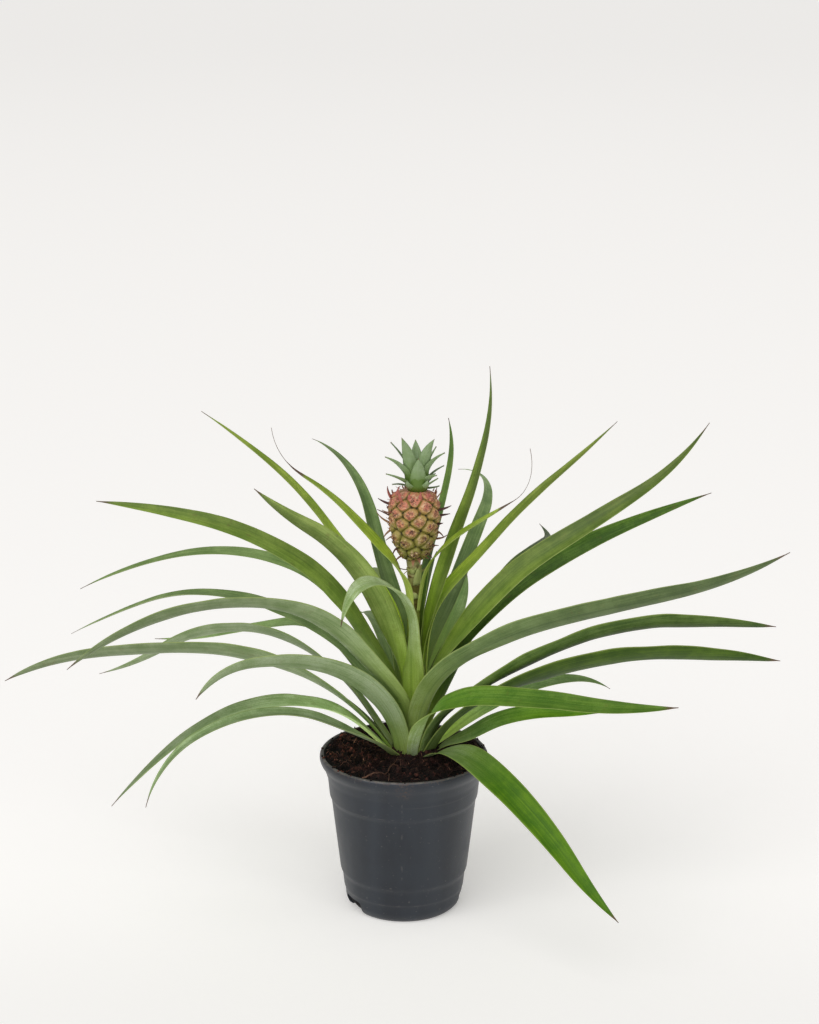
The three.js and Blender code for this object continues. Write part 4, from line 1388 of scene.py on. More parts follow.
@dataclass(frozen=True)
class Crown:
    """The tuft of pointed leaves on the fruit, round a core that is turned from rows of radius and height.

    Each row of leaves is a heading, the foot's height, a lean from upright, a curl, a length, a width and a twist.
    """

    x: float = 9.6
    low: float = 308.3
    core: Rows = (
        (0.4, 0.0), (6.8, 0.0), (7.4, 4.0), (7.0, 10.0), (6.6, 13.0), (3.0, 20.0), (0.4, 22.0),
    )
    leaves: Rows = (
        (215, 5, 6, 23, 35.7, 11, -50), (-28, 5, -4, 45, 35, 10, 58), (97, 9, 9, 18, 25.4, 10.5, 0),
        (-85, 3, 10, 10, 22.5, 11.5, 0), (168, 8, 20, 28, 29.9, 4.6, 0), (196, 5, 21, 50, 29, 8, -30),
        (200, 3, 47, 31, 21.6, 6.5, -20), (188, 1.6, 56, 47, 14, 3.4, 0), (12, 8, 16, 20, 24.6, 6.4, 0),
        (-14, 5, 6, 62, 28.4, 8.4, 30), (8, 4, 32, 38, 19.8, 4.2, 0), (-25, 3, 17, 72, 15, 8, 30),
        (-12, 2, 48, 17, 12.5, 5.4, 10), (4, 1.4, 94, -21, 11, 3.4, 0), (226, 1.6, 66, -50, 9.5, 6.4, -20),
        (-44, 1.6, 60, -48, 9, 6.4, 20), (140, 5, 26, -10, 22.9, 8.5, 0), (55, 5, 34, -1, 23.8, 8.5, 0),
        (112, 3, 42, 36, 22, 8, 0), (82, 2, 48, 32, 19, 7.5, 0), (48, 2.2, 56, 28, 16, 7, 0),
        (150, 2.2, 56, 28, 14, 7, 0),
    )

    SWAY_SEED = 3
    THIN_WIDTH = 5.0

    def tuft(self) -> Surface:
        """The leaves of the table, whose feet stand closer to the axis the higher they are.

        Returns:
            The leaves in one form.
        """
        rows = np.array(self.leaves, float)
        out = blend(4.8, 1.6, held(rows[:, 1] / 12.0))
        return SmallBlades.from_rows(
            rows, self.x, out, self.low + rows[:, 1], thick=0.9, keel=0.3, point=2.6, stations=18, across=9,
            sway=np.random.default_rng(self.SWAY_SEED).normal(0.0, 0.05, len(rows)), twist=np.radians(rows[:, 6]),
            shade=np.where(rows[:, 5] < self.THIN_WIDTH, 1.0, 0.0),
        ).surface()

    def build(self, effects: Effects) -> list[Item]:
        """Makes the tuft and its core in one piece.

        Args:
            effects: The shared shader groups.

        Returns:
            The piece.
        """
        tuft = self.tuft()
        profile = np.array(self.core)
        rings = round_points(self.x, profile[:, :1], even_angles(28), self.low + profile[:, 1:])
        core = capped_rings(rings, {name: np.zeros(rings.shape[:2]) for name in tuft.values})
        form = Surface.joined([tuft, core])
        return [form.place("crown_tuft", CrownFinish().material(effects), "crown_green", "crown")]


@dataclass(frozen=True)
class StalkFinish:
    """Pale yellow-green stalk that turns olive and brown further down, with brown scars."""

    name: str
    high: Colour
    low: Colour
    scar: Colour

    def material(self, effects: Effects) -> Material:
        """Builds the finish.

        Args:
            effects: The shared shader groups.

        Returns:
            The material.
        """
        made, wires, shader = new_material(self.name)
        patch = effects.patches(wires, 230.0, 0.45, 0.7)
        colour = wires.mix(wires.value("rise"), self.low, self.high)
        share = wires.most(wires.value("scar"), wires.times(patch, 0.35))
        wires.lead(wires.mix(share, colour, self.scar), shader, "Base Color")
        shader.inputs["Roughness"].default_value = 0.6
        bump(wires, shader, wires.noise(wires.place(), 900.0, 3.0), 0.0004, 0.5)
        return made


@dataclass(frozen=True)
class Stalk:
    """The fruit's bare stalk and, below it, the stem that the leaves clasp, which is rows of radius and height.

    Each row of small_leaves is a heading, a height, a lean from upright, a curl, a length, a width and a shade.
    """

    x: float = 7.0
    low: float = 222.3
    high: float = 259.0
    stem: Rows = (
        (9.4, 87.0), (9.4, 118.0), (8.3, 130.0), (6.5, 145.0), (5.3, 160.0), (4.7, 175.0), (4.2, 222.0),
    )
    small_leaves: Rows = (
        (-55, 240.5, 10, 20, 17.5, 6.5, 1), (-105, 231, 22, 10, 6.8, 9.5, 1), (-100, 249, 30, -20, 5.5, 5, 0.9),
        (-65, 250, 35, -20, 5, 4.5, 1), (-138, 249.5, 35, -10, 5, 4.5, 0.8), (-125, 246, 60, -30, 3, 3, 0),
        (-30, 249, 50, 10, 5, 4, 0.6), (200, 251, 84, -50, 15, 1.4, 0), (-125, 251.5, 88, 25, 9, 1.2, 0.4),
        (120, 249, 35, 30, 9, 3.4, 0.5), (20, 246, 40, 25, 9, 3, 0.5),
    )

    def turned(self, profile: np.ndarray, ring_pitch: float, ring_depth: float, pale_from: float) -> Surface:
        """A turned form with a scar at each ring pitch, where its radius has a small step.

        Args:
            profile: Rows of radius and height, from the bottom.
            ring_pitch: Distance between scars.
            ring_depth: How far a scar stands out.
            pale_from: The height where its colour turns pale.

        Returns:
            The closed form, with the values scar and rise.
        """
        angle, radius, z = even_angles(40), profile[:, :1], profile[:, 1:]
        wobble = rough_noise(round_points(0.0, 4.0, angle, z), 5.0, 2, 31)
        phase = ((z + 1.2 * np.cos(angle)) / ring_pitch) % 1.0
        r = radius * (1.0 + 0.04 * wobble) + ring_depth * np.exp(-((phase - 0.5) ** 2) / 0.02)
        scar = held(np.exp(-((phase - 0.42) ** 2) / 0.006) * (0.6 + 0.4 * wobble))
        rise = smooth((z - pale_from) / 8.0) * np.ones_like(scar)
        return capped_rings(round_points(self.x, r, angle, z), {"scar": scar, "rise": rise})

    def bracts(self) -> Surface:
        """The small leaves and threads on the stalk, from the table small_leaves."""
        rows = np.array(self.small_leaves)
        more = {"thick": 0.4, "keel": 0.4, "point": 3.0, "shade": rows[:, 6]}
        return SmallBlades.from_rows(rows, self.x, 3.6, rows[:, 1], **more).surface()

    def build(self, effects: Effects) -> list[Item]:
        """Makes the stalk, its small leaves and the stem.

        Args:
            effects: The shared shader groups.

        Returns:
            The pieces.
        """
        share = np.linspace(0.0, 1.0, 70)
        radius = 4.1 + 0.5 * smooth(2.0 * share - 1.0)
        stalk = self.turned(np.stack([radius, blend(self.low, self.high, share)], axis=1), 6.4, 0.4, 238.0)
        stem = self.turned(turned_profile(self.stem, 1.2, 5), 6.0, 0.3, 216.0)
        skin = StalkFinish("stalk_skin", srgb(176, 172, 112), srgb(112, 106, 34), srgb(92, 58, 34))
        dry = BractFinish(
            "stalk_bract", srgb(188, 192, 126), srgb(128, 98, 62), srgb(158, 158, 92), srgb(180, 190, 116)
        )
        pale = StalkFinish("stem_skin", srgb(112, 106, 34), srgb(120, 140, 40), srgb(104, 72, 36))
        return [
            stalk.place("stalk", skin.material(effects), "stem_green", "peduncle"),
            self.bracts().place("stalk_bracts", dry.material(effects), "stem_green"),
            stem.place("stem_core", pale.material(effects), "stem_green", "stem"),
        ]


POT_OUTSIDE = (
    (37.5, 0.0), (40.2, 2.4), (41.7, 6.0), (42.3, 12.0), (43.1, 14.6), (44.1, 24.0), (45.6, 28.0),
    (51.7, 81.2), (52.95, 83.8), (54.2, 97.0), (56.6, 104.5), (58.9, 108.0), (60.0, 111.0),
)
RIM_ROLL = ((59.7, 113.8), (58.4, 115.0), (57.1, 114.6), (56.3, 113.0), (55.9, 110.0))
WALL = 1.5
BASE_RADIUS = POT_OUTSIDE[0][0]


@dataclass(frozen=True)
class PotFinish:
    """Slate grey moulded plastic: flow marks, scuffs on the moulding lines, specks and a soiled rim, with a painted
    highlight along the lip and two pale vertical stripes of painted reflection.

    ledge_line, upper_line, low_line and foot_line are the heights of the moulding lines, and seam is its place across.
    """

    plain: Colour = srgb(18, 25, 35)
    wear_and_sheen: Colour = srgb(42, 50, 60)
    scuff_and_highlight: Colour = srgb(104, 99, 97)
    dust: Colour = srgb(92, 74, 66)
    ledge_line: float = 84.0
    upper_line: float = 93.4
    low_line: float = 26.6
    foot_line: float = 13.9
    seam: float = -1.4
    patch_scale: float = 38.0
    speck_scale: float = 480.0
    flow_scale: float = 55.0
    scuff_scale: float = 190.0
    soil_scale: float = 620.0

    def material(self, effects: Effects) -> Material:
        """Builds the plastic.

        Args:
            effects: The shared shader groups.

        Returns:
            The material.
        """
        made, wires, shader = new_material("pot_plastic")
        place = wires.place()
        spot = wires.add("SeparateXYZ", {0: place})
        x, z = wires.times(spot.outputs["X"], 1.0 / MM), wires.times(spot.outputs["Z"], 1.0 / MM)
        patch = effects.patches(wires, self.patch_scale, 0.35, 0.75)
        specks = effects.patches(wires, self.speck_scale, 0.65, 0.7)
        stretched = wires.add("VectorMath", {0: place, 1: (1.0, 1.0, 0.07)}, operation="MULTIPLY").outputs["Vector"]
        flow = wires.ramp(wires.noise(stretched, self.flow_scale, 2.0), 0.35, 0.65)
        # Painted reflection: two soft pale vertical stripes at a fixed place either side of the front, as from two
        # tall lamps.
        painted_reflection_bands = wires.times(wires.band(wires.maths("ABSOLUTE", x), 20.0, 9.0), wires.ramp(z, 20.0, 90.0, 0.15, 0.4))
        broken = wires.ramp(wires.noise(place, self.scuff_scale, 3.0, 0.6), 0.5, 0.62)
        sides = wires.ramp(wires.maths("ABSOLUTE", x), 18.0, 34.0, 0.0, 0.6)
        scuffs_and_lip_highlight = wires.most(
            wires.times(wires.band(z, self.ledge_line, 0.55), wires.most(broken, sides), 0.28),
            wires.times(wires.band(z, self.upper_line, 0.7), wires.ramp(x, -6.0, 10.0), 0.12),
            wires.times(wires.band(z, self.foot_line, 0.8), wires.share(broken, 0.35, 1.0), 0.22),
            wires.times(wires.band(z, self.low_line, 1.2), broken, 0.15),
            wires.times(wires.band(x, self.seam, 1.1), wires.ramp(z, 22.0, 24.0), broken, 0.25),
            # Painted highlight: a broken pale line round the top of the lip.
            wires.times(wires.ramp(z, 113.6, 114.3), wires.share(broken, 0.5, 1.0)),
            wires.times(specks, 0.4),
        )
        soiled = wires.times(wires.value("soiled"), wires.ramp(wires.noise(place, self.soil_scale, 4.0), 0.46, 0.64))
        colour = wires.layers(
            self.plain,
            (wires.times(patch, 0.3), self.wear_and_sheen),
            (wires.times(flow, 0.35), self.wear_and_sheen),
            (wires.times(wires.band(z, 90.0, 20.0), 0.12), self.wear_and_sheen),
            # Painted reflection: the two pale vertical stripes on the wall.
            (painted_reflection_bands, self.wear_and_sheen),
            # Painted highlight: the pale line along the lip.
            (wires.value("lip_highlight"), self.wear_and_sheen),
            (scuffs_and_lip_highlight, self.scuff_and_highlight),
            (wires.times(soiled, 0.75), self.dust),
        )
        wires.lead(colour, shader, "Base Color")
        wires.lead(wires.plus(0.38, wires.times(patch, 0.1), wires.times(soiled, 0.35)), shader, "Roughness")
        bump(wires, shader, effects.unevenness(wires, 90.0, 1500.0), 0.0004, 0.35)
        return made


@dataclass(frozen=True)
class Pot:
    """The tapered pot with its moulded steps, rolled rim and drain cut-outs.

    outside and rim are profiles of radius and height, and drains holds the cut-outs' headings in degrees.
    """

    outside: Rows = POT_OUTSIDE
    rim: Rows = RIM_ROLL
    drains: tuple[float, ...] = (104.0, 208.0, 356.0)
    drain_width: float = 21.0
    drain_height: float = 10.0
    drain_inset: float = 4.5
    drain_ease: float = 2.6
    around: int = 240

    INSIDE_HEIGHTS = (104.5, 97.0, 83.8, 81.2, 28.0, 24.0, 14.6, 6.0)
    OUT_OF_TRUE = 0.12
    LIP_HIGHLIGHT_AT = 114.2
    SOILED_FROM = 111.5
    SPILLED_FROM = 99.0
    CUT_REACHES = 62.0
    SHARP_FROM = math.radians(38.0)

    def inner_radius(self, z: float) -> float:
        """The inside's radius at a height: the outside's less the wall."""
        radii, heights = zip(*self.outside)
        return float(np.interp(z, heights, radii)) - WALL

    def surface(self) -> Surface:
        """The wall, turned from a profile with eased corners, out of true by a fraction of a millimetre.

        Returns:
            The closed wall, with a value for the painted highlight along the lip, and the value soiled.
        """
        inside = [(self.inner_radius(z), z) for z in self.INSIDE_HEIGHTS]
        front = turned_profile(self.outside + self.rim, 0.8, 3)
        back = turned_profile([self.rim[-1], *inside, (BASE_RADIUS, WALL)], 4.0, 3)[1:]
        sole = np.stack([np.linspace(2.0, BASE_RADIUS - 1.0, 8), np.zeros(8)], axis=1)
        floor = np.stack([np.linspace(BASE_RADIUS - 2.0, 2.0, 8), np.full(8, WALL)], axis=1)
        profile = np.concatenate([sole, front, back, floor])
        angle = even_angles(self.around)
        r, z = profile[:, :1], profile[:, 1:] * np.ones(self.around)
        bent = self.OUT_OF_TRUE * np.cos(2.0 * angle + 0.6) * smooth(z / 60.0)
        # A painted highlight: a thin pale line round the top of the lip.
        lip_highlight = 0.9 * np.exp(-(((z - self.LIP_HIGHLIGHT_AT) / 0.7) ** 2))
        at_front = np.exp(-(((angle + np.pi / 2.0 + np.pi) % (2.0 * np.pi) - np.pi) ** 2) / 0.006)
        spilled = 0.9 * at_front * smooth((z - self.SPILLED_FROM) / 7.0)
        soiled = 0.55 * smooth((z - self.SOILED_FROM) / 2.5) + spilled
        values = {"lip_highlight": held(lip_highlight), "soiled": held(soiled)}
        return capped_rings(round_points(0.0, r + bent, angle, z), values)

    def drain_cutter(self, angle: float, number: int) -> Item:
        """A block with a rounded top, laid across the bottom corner of the wall at an angle.

        Args:
            angle: Where, in degrees from +X.
            number: Its number, for its name.

        Returns:
            The block, which is removed after the cut.
        """
        half, top, ease = self.drain_width / 2.0, self.drain_height, self.drain_ease
        bend = np.radians(np.linspace(0.0, 90.0, 6))
        right = np.stack([half - ease + ease * np.cos(bend), top - ease + ease * np.sin(bend)], axis=1)
        outline = np.concatenate([[[-half, -2.0], [half, -2.0]], right, right[::-1] * [-1.0, 1.0]])
        turn = math.radians(angle)
        reach = np.array([BASE_RADIUS - self.drain_inset, self.CUT_REACHES])
        x = reach[:, None] * math.cos(turn) - outline[:, 0] * math.sin(turn)
        y = reach[:, None] * math.sin(turn) + outline[:, 0] * math.cos(turn)
        points = np.stack([x, y, np.broadcast_to(outline[:, 1], x.shape)], axis=-1)
        surface = capped_rings(points, {})
        mesh = bpy.data.meshes.new(f"drain_{number}")
        faces = [list(map(int, face)) for face in (*surface.quads, *surface.tris)]
        mesh.from_pydata((surface.points * MM).tolist(), [], faces)
        return stand(mesh.name, mesh)

    def build(self, effects: Effects) -> list[Item]:
        """Makes the wall and cuts its drains.

        Args:
            effects: The shared shader groups.

        Returns:
            The piece.
        """
        piece = self.surface().place("pot_wall", PotFinish().material(effects), "pot_plastic", "pot")
        cutters = [self.drain_cutter(angle, k) for k, angle in enumerate(self.drains)]
        for cutter in cutters:
            cut = piece.modifiers.new(cutter.name, "BOOLEAN")
            cut.object = cutter
            cut.operation = "DIFFERENCE"
            cut.solver = "EXACT"
        bpy.context.view_layer.update()
        made = bpy.data.meshes.new_from_object(piece.evaluated_get(bpy.context.evaluated_depsgraph_get()))
        piece.modifiers.clear()
        piece.data = made
        for cutter in cutters:
            bpy.data.objects.remove(cutter)
        made.polygons.foreach_set("use_smooth", np.ones(len(made.polygons), bool))
        made.set_sharp_from_angle(angle=self.SHARP_FROM)
        LOG.info("pot_wall cut: %d faces", len(made.polygons))
        return [piece]


@dataclass(frozen=True)
class SoilFinish:
    """Moist dark peat that turns to a paler brown in patches and at the left, with painted light on its lumps and
    painted shade in its pits.
    """

    name: str
    dark: Colour
    brown: Colour
    roughness: float = 0.85

    def material(self, effects: Effects) -> Material:
        """Builds the finish.

        Args:
            effects: The shared shader groups.

        Returns:
            The material.
        """
        made, wires, shader = new_material(self.name)
        patch = effects.patches(wires, 300.0, 0.45, 0.7)
        spot = wires.add("SeparateXYZ", {0: wires.place()})
        left = wires.ramp(spot.outputs["X"], -0.015, -0.045, 0.2, 1.2)
        broad = wires.ramp(wires.noise(wires.place(), 60.0, 2.0), 0.35, 0.65, 0.25, 1.0)
        share = wires.plus(wires.times(patch, broad, left), 0.06)
        # Painted light and shade: the value high lifts the brown on lumps and keeps the pits near black.
        share = wires.times(share, wires.ramp(wires.value("high"), 0.3, 1.0, 0.0, 1.5))
        wires.lead(wires.mix(share, self.dark, self.brown), shader, "Base Color")
        shader.inputs["Roughness"].default_value = self.roughness
        shader.inputs["Specular IOR Level"].default_value = 0.25
        bump(wires, shader, effects.unevenness(wires, 500.0, 1800.0), 0.0015, 0.9)
        return made


@dataclass(frozen=True)
class Soil:
    """Peat up to the rim, with crumbs and coco fibres on it."""

    pot: Pot
    top: float = 115.0
    edge: float = 113.6
    edge_radius: float = 56.4
    flat_radius: float = 30.0
    calm_radius: float = 21.0
    heaped: float = 4.6
    crumbs: int = 3800
    clods: int = 260
    on_rim: int = 60
    fibres: int = 620
    around: int = 340
    across: int = 125
    stations: int = 12

    GAP = 0.3
    LARGEST_CRUMB = 2.3
    RIM_ROLL = (56.8, 59.0)
    RIM_TOP = 114.9
    LONGEST_FIBRE = 22.0
    FIBRES_WITHIN = 56.0
    LEAD_AT = (0.0, 0.55, 1.0)
    LEAD_X = (-29.0, -13.0, -3.5)
    LEAD_Y = (-47.0, -42.0, -21.0)
    LUMP_SEED, RIDGE_SEED, CRUMB_SEED, FIBRE_SEED = 41, 47, 53, 59

    def dome(self, r: np.ndarray) -> np.ndarray:
        """The smooth dome's height at a radius: level in the middle, and falling to the edge along an S curve."""
        return blend(self.top, self.edge, smooth((r - self.flat_radius) / (self.edge_radius - self.flat_radius)))

    def height(self, x: np.ndarray, y: np.ndarray) -> np.ndarray:
        """The surface's height: a low dome with lumps and ridged peat, heaped at the back left and against the leaves.

        The lumps are products of sine waves, and the rest is noise. It lies calm near the stem and by the rim.

        Args:
            x: Places in millimetres.
            y: Places in millimetres.

        Returns:
            Heights in millimetres.
        """
        r, from_stem = np.hypot(x, y), np.hypot(x - PLANT_X, y)
        lumps = np.sin(x * 0.31 + 1.3) * np.cos(y * 0.27 - 0.4)
        lumps = lumps + 0.6 * np.sin(x * 0.63 - y * 0.52) * np.sin(y * 0.71 + x * 0.19 + 2.0)
        place = np.stack([x, y, np.zeros_like(x)], axis=-1)
        ridges = 0.4 - np.abs(rough_noise(place, 4.2, 3, self.RIDGE_SEED))
        rough = rough_noise(place, 7.0, 4, self.LUMP_SEED) * 1.8 + ridges * 4.0
        far = smooth((from_stem - self.calm_radius) / 9.0)
        near = np.exp(-(((from_stem - 20.0) / 7.5) ** 2)) * smooth((9.0 - y) / 16.0)
        heap = 1.6 * smooth((y - 20.0) / 25.0) * smooth((12.0 - x) / 30.0) + self.heaped * near
        calm = held(0.2 + 0.8 * far + 0.5 * near) * (1.0 - 0.8 * smooth((r - 51.0) / 5.0))
        return self.dome(r) + heap + (1.0 * lumps + 1.2 * rough) * calm - 0.25 * (1.0 - far)

    def lit(self, x: np.ndarray, y: np.ndarray, z: np.ndarray) -> np.ndarray:
        """How high a point stands over the smooth dome, from 0 in the pits to 1 on the lumps: painted light and shade
        for the soil.
        """
        return smooth((z - self.dome(np.hypot(x, y)) + 1.6) / 4.5)

    def mound(self) -> Surface:
        """The soil's body: its top, and below it the inside of the pot less a small gap.

        Returns:
            The closed body, with the value high, which carries painted light and shade: high on its lumps, low in its
            pits.
        """
        angle = even_angles(self.around)
        side = [(self.pot.inner_radius(z) - self.GAP, z) for z in (6, 14.6, 24, 28, 79, 82, 97)]
        foot = [(20.0, WALL + self.GAP), (BASE_RADIUS - 0.8, WALL + self.GAP)]
        low = np.array([*foot, *side, (55.4, 109.0), (55.6, 112.7), (56.4, 113.8)])
        r = np.concatenate([low[:, 0], np.linspace(self.edge_radius, 0.6, self.across)])[:, None]
        x, y = r * np.cos(angle), r * np.sin(angle)
        z = np.concatenate([low[:, 1:] * np.ones(self.around), self.height(x[len(low):], y[len(low):])])
        return capped_rings(np.stack([x, y, z], axis=-1), {"high": self.lit(x, y, z)})

    def scatter(self, count: int, rng: np.random.Generator) -> tuple[np.ndarray, np.ndarray]:
        """Even random places on the top.

        Args:
            count: How many.
            rng: Where the draws come from.

        Returns:
            Their x and y.
        """
        r = self.edge_radius * 0.97 * np.sqrt(rng.random(count))
        angle = rng.random(count) * 2.0 * np.pi
        return r * np.cos(angle), r * np.sin(angle)

    def rim_places(self, rng: np.random.Generator) -> np.ndarray:
        """Random places on the top of the rim's roll, as rows of x, y and z."""
        r = rng.uniform(*self.RIM_ROLL, self.on_rim)
        return round_points(0.0, r, rng.random(self.on_rim) * 2.0 * np.pi, self.RIM_TOP)

    def crumb_surface(self) -> Surface:
        """Loose crumbs: six-cornered lumps, each stretched and turned by its own draw, the first of them on the rim.

        Returns:
            All the crumbs in one form.
        """
        rng = np.random.default_rng(self.CRUMB_SEED)
        x, y = self.scatter(self.crumbs, rng)
        shape = np.array([[1, 0, 0], [-1, 0, 0], [0, 1, 0], [0, -1, 0], [0, 0, 1], [0, 0, -1]], float)
        faces = np.array([[0, 2, 4], [2, 1, 4], [1, 3, 4], [3, 0, 4], [2, 0, 5], [1, 2, 5], [3, 1, 5], [0, 3, 5]])
        size = rng.lognormal(-0.45, 0.45, (self.crumbs, 1, 1)) * 0.8
        size[: self.clods] = rng.uniform(1.2, self.LARGEST_CRUMB, (self.clods, 1, 1))
        stretch = rng.uniform(0.55, 1.4, (self.crumbs, 1, 3))
        turn, _ = np.linalg.qr(rng.normal(size=(self.crumbs, 3, 3)))
        turn *= np.sign(np.linalg.det(turn))[:, None, None]
        lumps = np.einsum("nij,nkj->nki", turn, shape * np.minimum(size, self.LARGEST_CRUMB) * stretch)
        lumps *= rng.uniform(0.8, 1.2, lumps.shape)
        place = np.stack([x, y, self.height(x, y) + 0.25], axis=1)[:, None]
        tris = (faces[None] + (np.arange(self.crumbs) * 6)[:, None, None]).reshape(-1, 3)
        place[: self.on_rim] = self.rim_places(rng)[:, None]
        lumps[: self.on_rim] *= 0.45
        points = (lumps + place).reshape(-1, 3)
        # The value high: painted light and shade by height over the dome, times a random tone for each crumb.
        high = self.lit(*points.T) * np.repeat(rng.uniform(0.3, 1.3, self.crumbs), 6)
        return Surface(points, np.zeros((0, 4), int), tris, {"high": high}).outward()

    def fibre_surface(self) -> Surface:
        """Coco fibres: thin bent four-sided tubes that lie on the soil, and one long one near the front.

        Returns:
            All the fibres in one form.
        """
        rng = np.random.default_rng(self.FIBRE_SEED)
        x, y = self.scatter(self.fibres, rng)
        share = np.linspace(0.0, 1.0, self.stations)
        length = np.minimum(rng.lognormal(1.9, 0.5, self.fibres), self.LONGEST_FIBRE)
        heading = rng.random(self.fibres)[:, None] * 2.0 * np.pi + rng.normal(0.0, 1.1, (self.fibres, 1)) * share
        step = np.stack([np.cos(heading), np.sin(heading)], axis=-1) * (length / self.stations)[:, None, None]
        flat = np.stack([x, y], axis=1)[:, None] + np.cumsum(step, axis=1)
        flat = np.concatenate([flat, self.lead_fibre(share)[None]])
        r = np.hypot(flat[..., 0], flat[..., 1])
        flat *= np.minimum(1.0, self.FIBRES_WITHIN / np.maximum(r, 1.0))[..., None]
        lift = 0.45 + 1.6 * np.concatenate([rng.random((self.fibres, 1)) ** 2, [[0.6]]]) * np.sin(np.pi * share)
        z = self.height(flat[..., 0], flat[..., 1]) + lift
        line = np.concatenate([flat, z[..., None]], axis=-1)
        along = np.gradient(line, axis=1)
        along /= np.linalg.norm(along, axis=-1, keepdims=True)
        side = np.cross(along, [0.0, 0.0, 1.0])
        side /= np.linalg.norm(side, axis=-1, keepdims=True)
        above = np.cross(side, along)
        thick = np.concatenate([rng.uniform(0.12, 0.3, self.fibres), [0.75]])[:, None, None]
        angle = even_angles(4)[:, None]
        bulge = (thick * (1.0 - 0.5 * share**2)[None, :, None])[..., None]
        rings = line[:, :, None] + bulge * (side[:, :, None] * np.cos(angle) + above[:, :, None] * np.sin(angle))
        light = np.concatenate([rng.random(self.fibres) ** 2 * 1.2, [1.5]])
        high = np.broadcast_to(light[:, None, None], rings.shape[:3])
        return blade_surface(rings, {"high": high})

    def lead_fibre(self, share: np.ndarray) -> np.ndarray:
        """The long curved fibre at the front left: a line through three places, bent by a sine wave.

        Args:
            share: Shares of its length.

        Returns:
            Rows of x and y.
        """
        x, y = (np.interp(share, self.LEAD_AT, part) for part in (self.LEAD_X, self.LEAD_Y))
        return np.stack([x, y - 3.0 * np.sin(np.pi * share)], axis=1)

    def build(self, effects: Effects) -> list[Item]:
        """Makes the soil's body, crumbs and fibres.

        Args:
            effects: The shared shader groups.

        Returns:
            The pieces.
        """
        peat = SoilFinish("peat", srgb(8, 5, 5), srgb(92, 54, 44)).material(effects)
        crumb = SoilFinish("peat_crumb", srgb(11, 6, 7), srgb(158, 94, 78)).material(effects)
        coco = SoilFinish("coco_fibre", srgb(36, 20, 17), srgb(222, 164, 134), 0.7).material(effects)
        return [
            self.mound().place("soil_mound", peat, "peat_soil", "soil"),
            self.crumb_surface().place("soil_crumbs", crumb, "peat_soil"),
            self.fibre_surface().place("soil_fibres", coco, "peat_soil"),
        ]


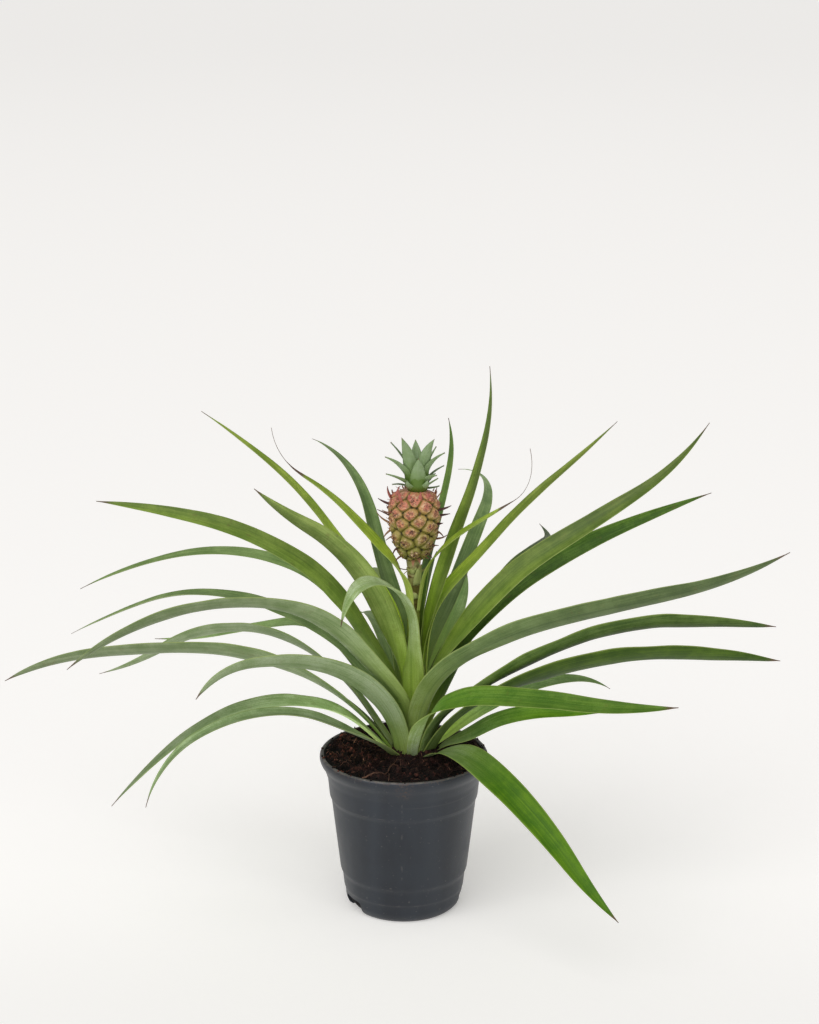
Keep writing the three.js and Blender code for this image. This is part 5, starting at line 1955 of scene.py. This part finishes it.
@dataclass(frozen=True)
class Studio:
    """A pale floor, soft light from all round with a broad one above the front left, and the camera.

    Its lengths are metres, its angles degrees and its powers watts.
    """

    camera_back: float = 1.5
    camera_height: float = 0.717
    camera_pitch: float = 15.81
    camera_turn: float = 0.158
    lens: float = 79.17
    floor_half: float = 30.0
    floor_colour: Colour = (0.86, 0.85, 0.835, 1.0)
    floor_glow: float = 0.29
    near_share: float = 0.72
    far_glow: float = 0.22
    fade_behind: tuple[float, float] = (0.5, 9.0)
    fade_before: tuple[float, float] = (-0.22, 0.06)
    sky: Colour = (1.0, 0.995, 0.985, 1.0)
    warm: Colour = (1.0, 0.975, 0.95, 1.0)
    sky_strength: float = 0.40
    key_strength: float = 1.3
    key_angle: float = 60.0
    key_tilt: float = 39.6
    key_turn: float = -25.0
    strip_size: tuple[float, float] = (0.5, 1.6)
    strip_away: float = 1.5
    strip_height: float = 0.9
    strip_power: float = 3.0
    strip_left: float = -146.0
    strip_right: float = -46.0
    aim_height: float = 0.22

    def camera(self) -> Item:
        """Places the camera at the photograph's angle: straight in front, looking down a little, with a long lens.

        Returns:
            The camera.
        """
        data = bpy.data.cameras.new("camera")
        data.lens = self.lens
        data.sensor_fit = "VERTICAL"
        data.sensor_height = 36.0
        data.clip_end = 200.0
        made = stand("camera", data)
        made.location = (0.0, -self.camera_back, self.camera_height)
        made.rotation_euler = (math.radians(90.0 - self.camera_pitch), 0.0, math.radians(-self.camera_turn))
        bpy.context.scene.camera = made
        return made

    def floor(self) -> Item:
        """Lays the plain pale floor, which isn't part of the object.

        It glows a little, less so far behind the plant and in front of it.

        Returns:
            The floor.
        """
        h = self.floor_half
        mesh = bpy.data.meshes.new("floor")
        mesh.from_pydata([(-h, -h, 0.0), (h, -h, 0.0), (h, h, 0.0), (-h, h, 0.0)], [], [(0, 1, 2, 3)])
        made, wires, shader = new_material("floor_plain")
        shader.inputs["Base Color"].default_value = self.floor_colour
        shader.inputs["Roughness"].default_value = 0.9
        shader.inputs["Specular IOR Level"].default_value = 0.0
        shader.inputs["Emission Color"].default_value = self.warm
        away = wires.add("SeparateXYZ", {0: wires.place()}).outputs["Y"]
        glow = wires.ramp(away, *self.fade_behind, self.floor_glow, self.far_glow)
        glow = wires.times(glow, wires.ramp(away, *self.fade_before, self.near_share, 1.0))
        wires.lead(glow, shader, "Emission Strength")
        mesh.materials.append(made)
        floor = stand("floor", mesh)
        return floor

    def strip(self, name: str, azimuth: float) -> None:
        """Hangs a tall soft lamp that faces the plant.

        Args:
            name: Its name.
            azimuth: Its heading from the plant, in degrees.
        """
        data = bpy.data.lights.new(name, "AREA")
        data.shape = "RECTANGLE"
        data.size, data.size_y = self.strip_size
        data.energy = self.strip_power
        lamp = stand(name, data)
        away, height, turn = self.strip_away, self.strip_height, math.radians(azimuth)
        lamp.location = (away * math.cos(turn), away * math.sin(turn), height)
        lamp.rotation_euler = (math.atan2(away, height - self.aim_height), 0.0, turn + math.pi / 2.0)

    def key(self) -> None:
        """A broad far light from the front left and above, as from a large diffuser."""
        data = bpy.data.lights.new("key", "SUN")
        data.energy = self.key_strength
        data.angle = math.radians(self.key_angle)
        lamp = stand("key", data)
        lamp.rotation_euler = (math.radians(self.key_tilt), 0.0, math.radians(self.key_turn))

    def build(self) -> None:
        """Sets up floor, light, camera and plain colour handling."""
        scene = bpy.context.scene
        scene.view_settings.view_transform = "Standard"
        world = bpy.data.worlds.new("studio")
        scene.world = world
        world.use_nodes = True
        shade = world.node_tree.nodes["Background"]
        shade.inputs["Color"].default_value = self.sky
        shade.inputs["Strength"].default_value = self.sky_strength
        self.camera()
        self.floor()
        self.key()
        self.strip("strip_left", self.strip_left)
        self.strip("strip_right", self.strip_right)


def main() -> None:
    """Builds the studio and every part of the plant in order."""
    logging.basicConfig(level=logging.INFO, format="%(name)s: %(message)s")
    Studio().build()
    effects = Effects(grain_group(), mottle_group(), veins_group())
    pot = Pot()
    pieces = pot.build(effects)
    pieces += Soil(pot).build(effects)
    pieces += Stalk().build(effects)
    pieces += Rosette().build(effects)
    pieces += Fruit().build(effects)
    pieces += Crown().build(effects)
    LOG.info("%d pieces in all", len(pieces))


if __name__ == "__main__":
    main()
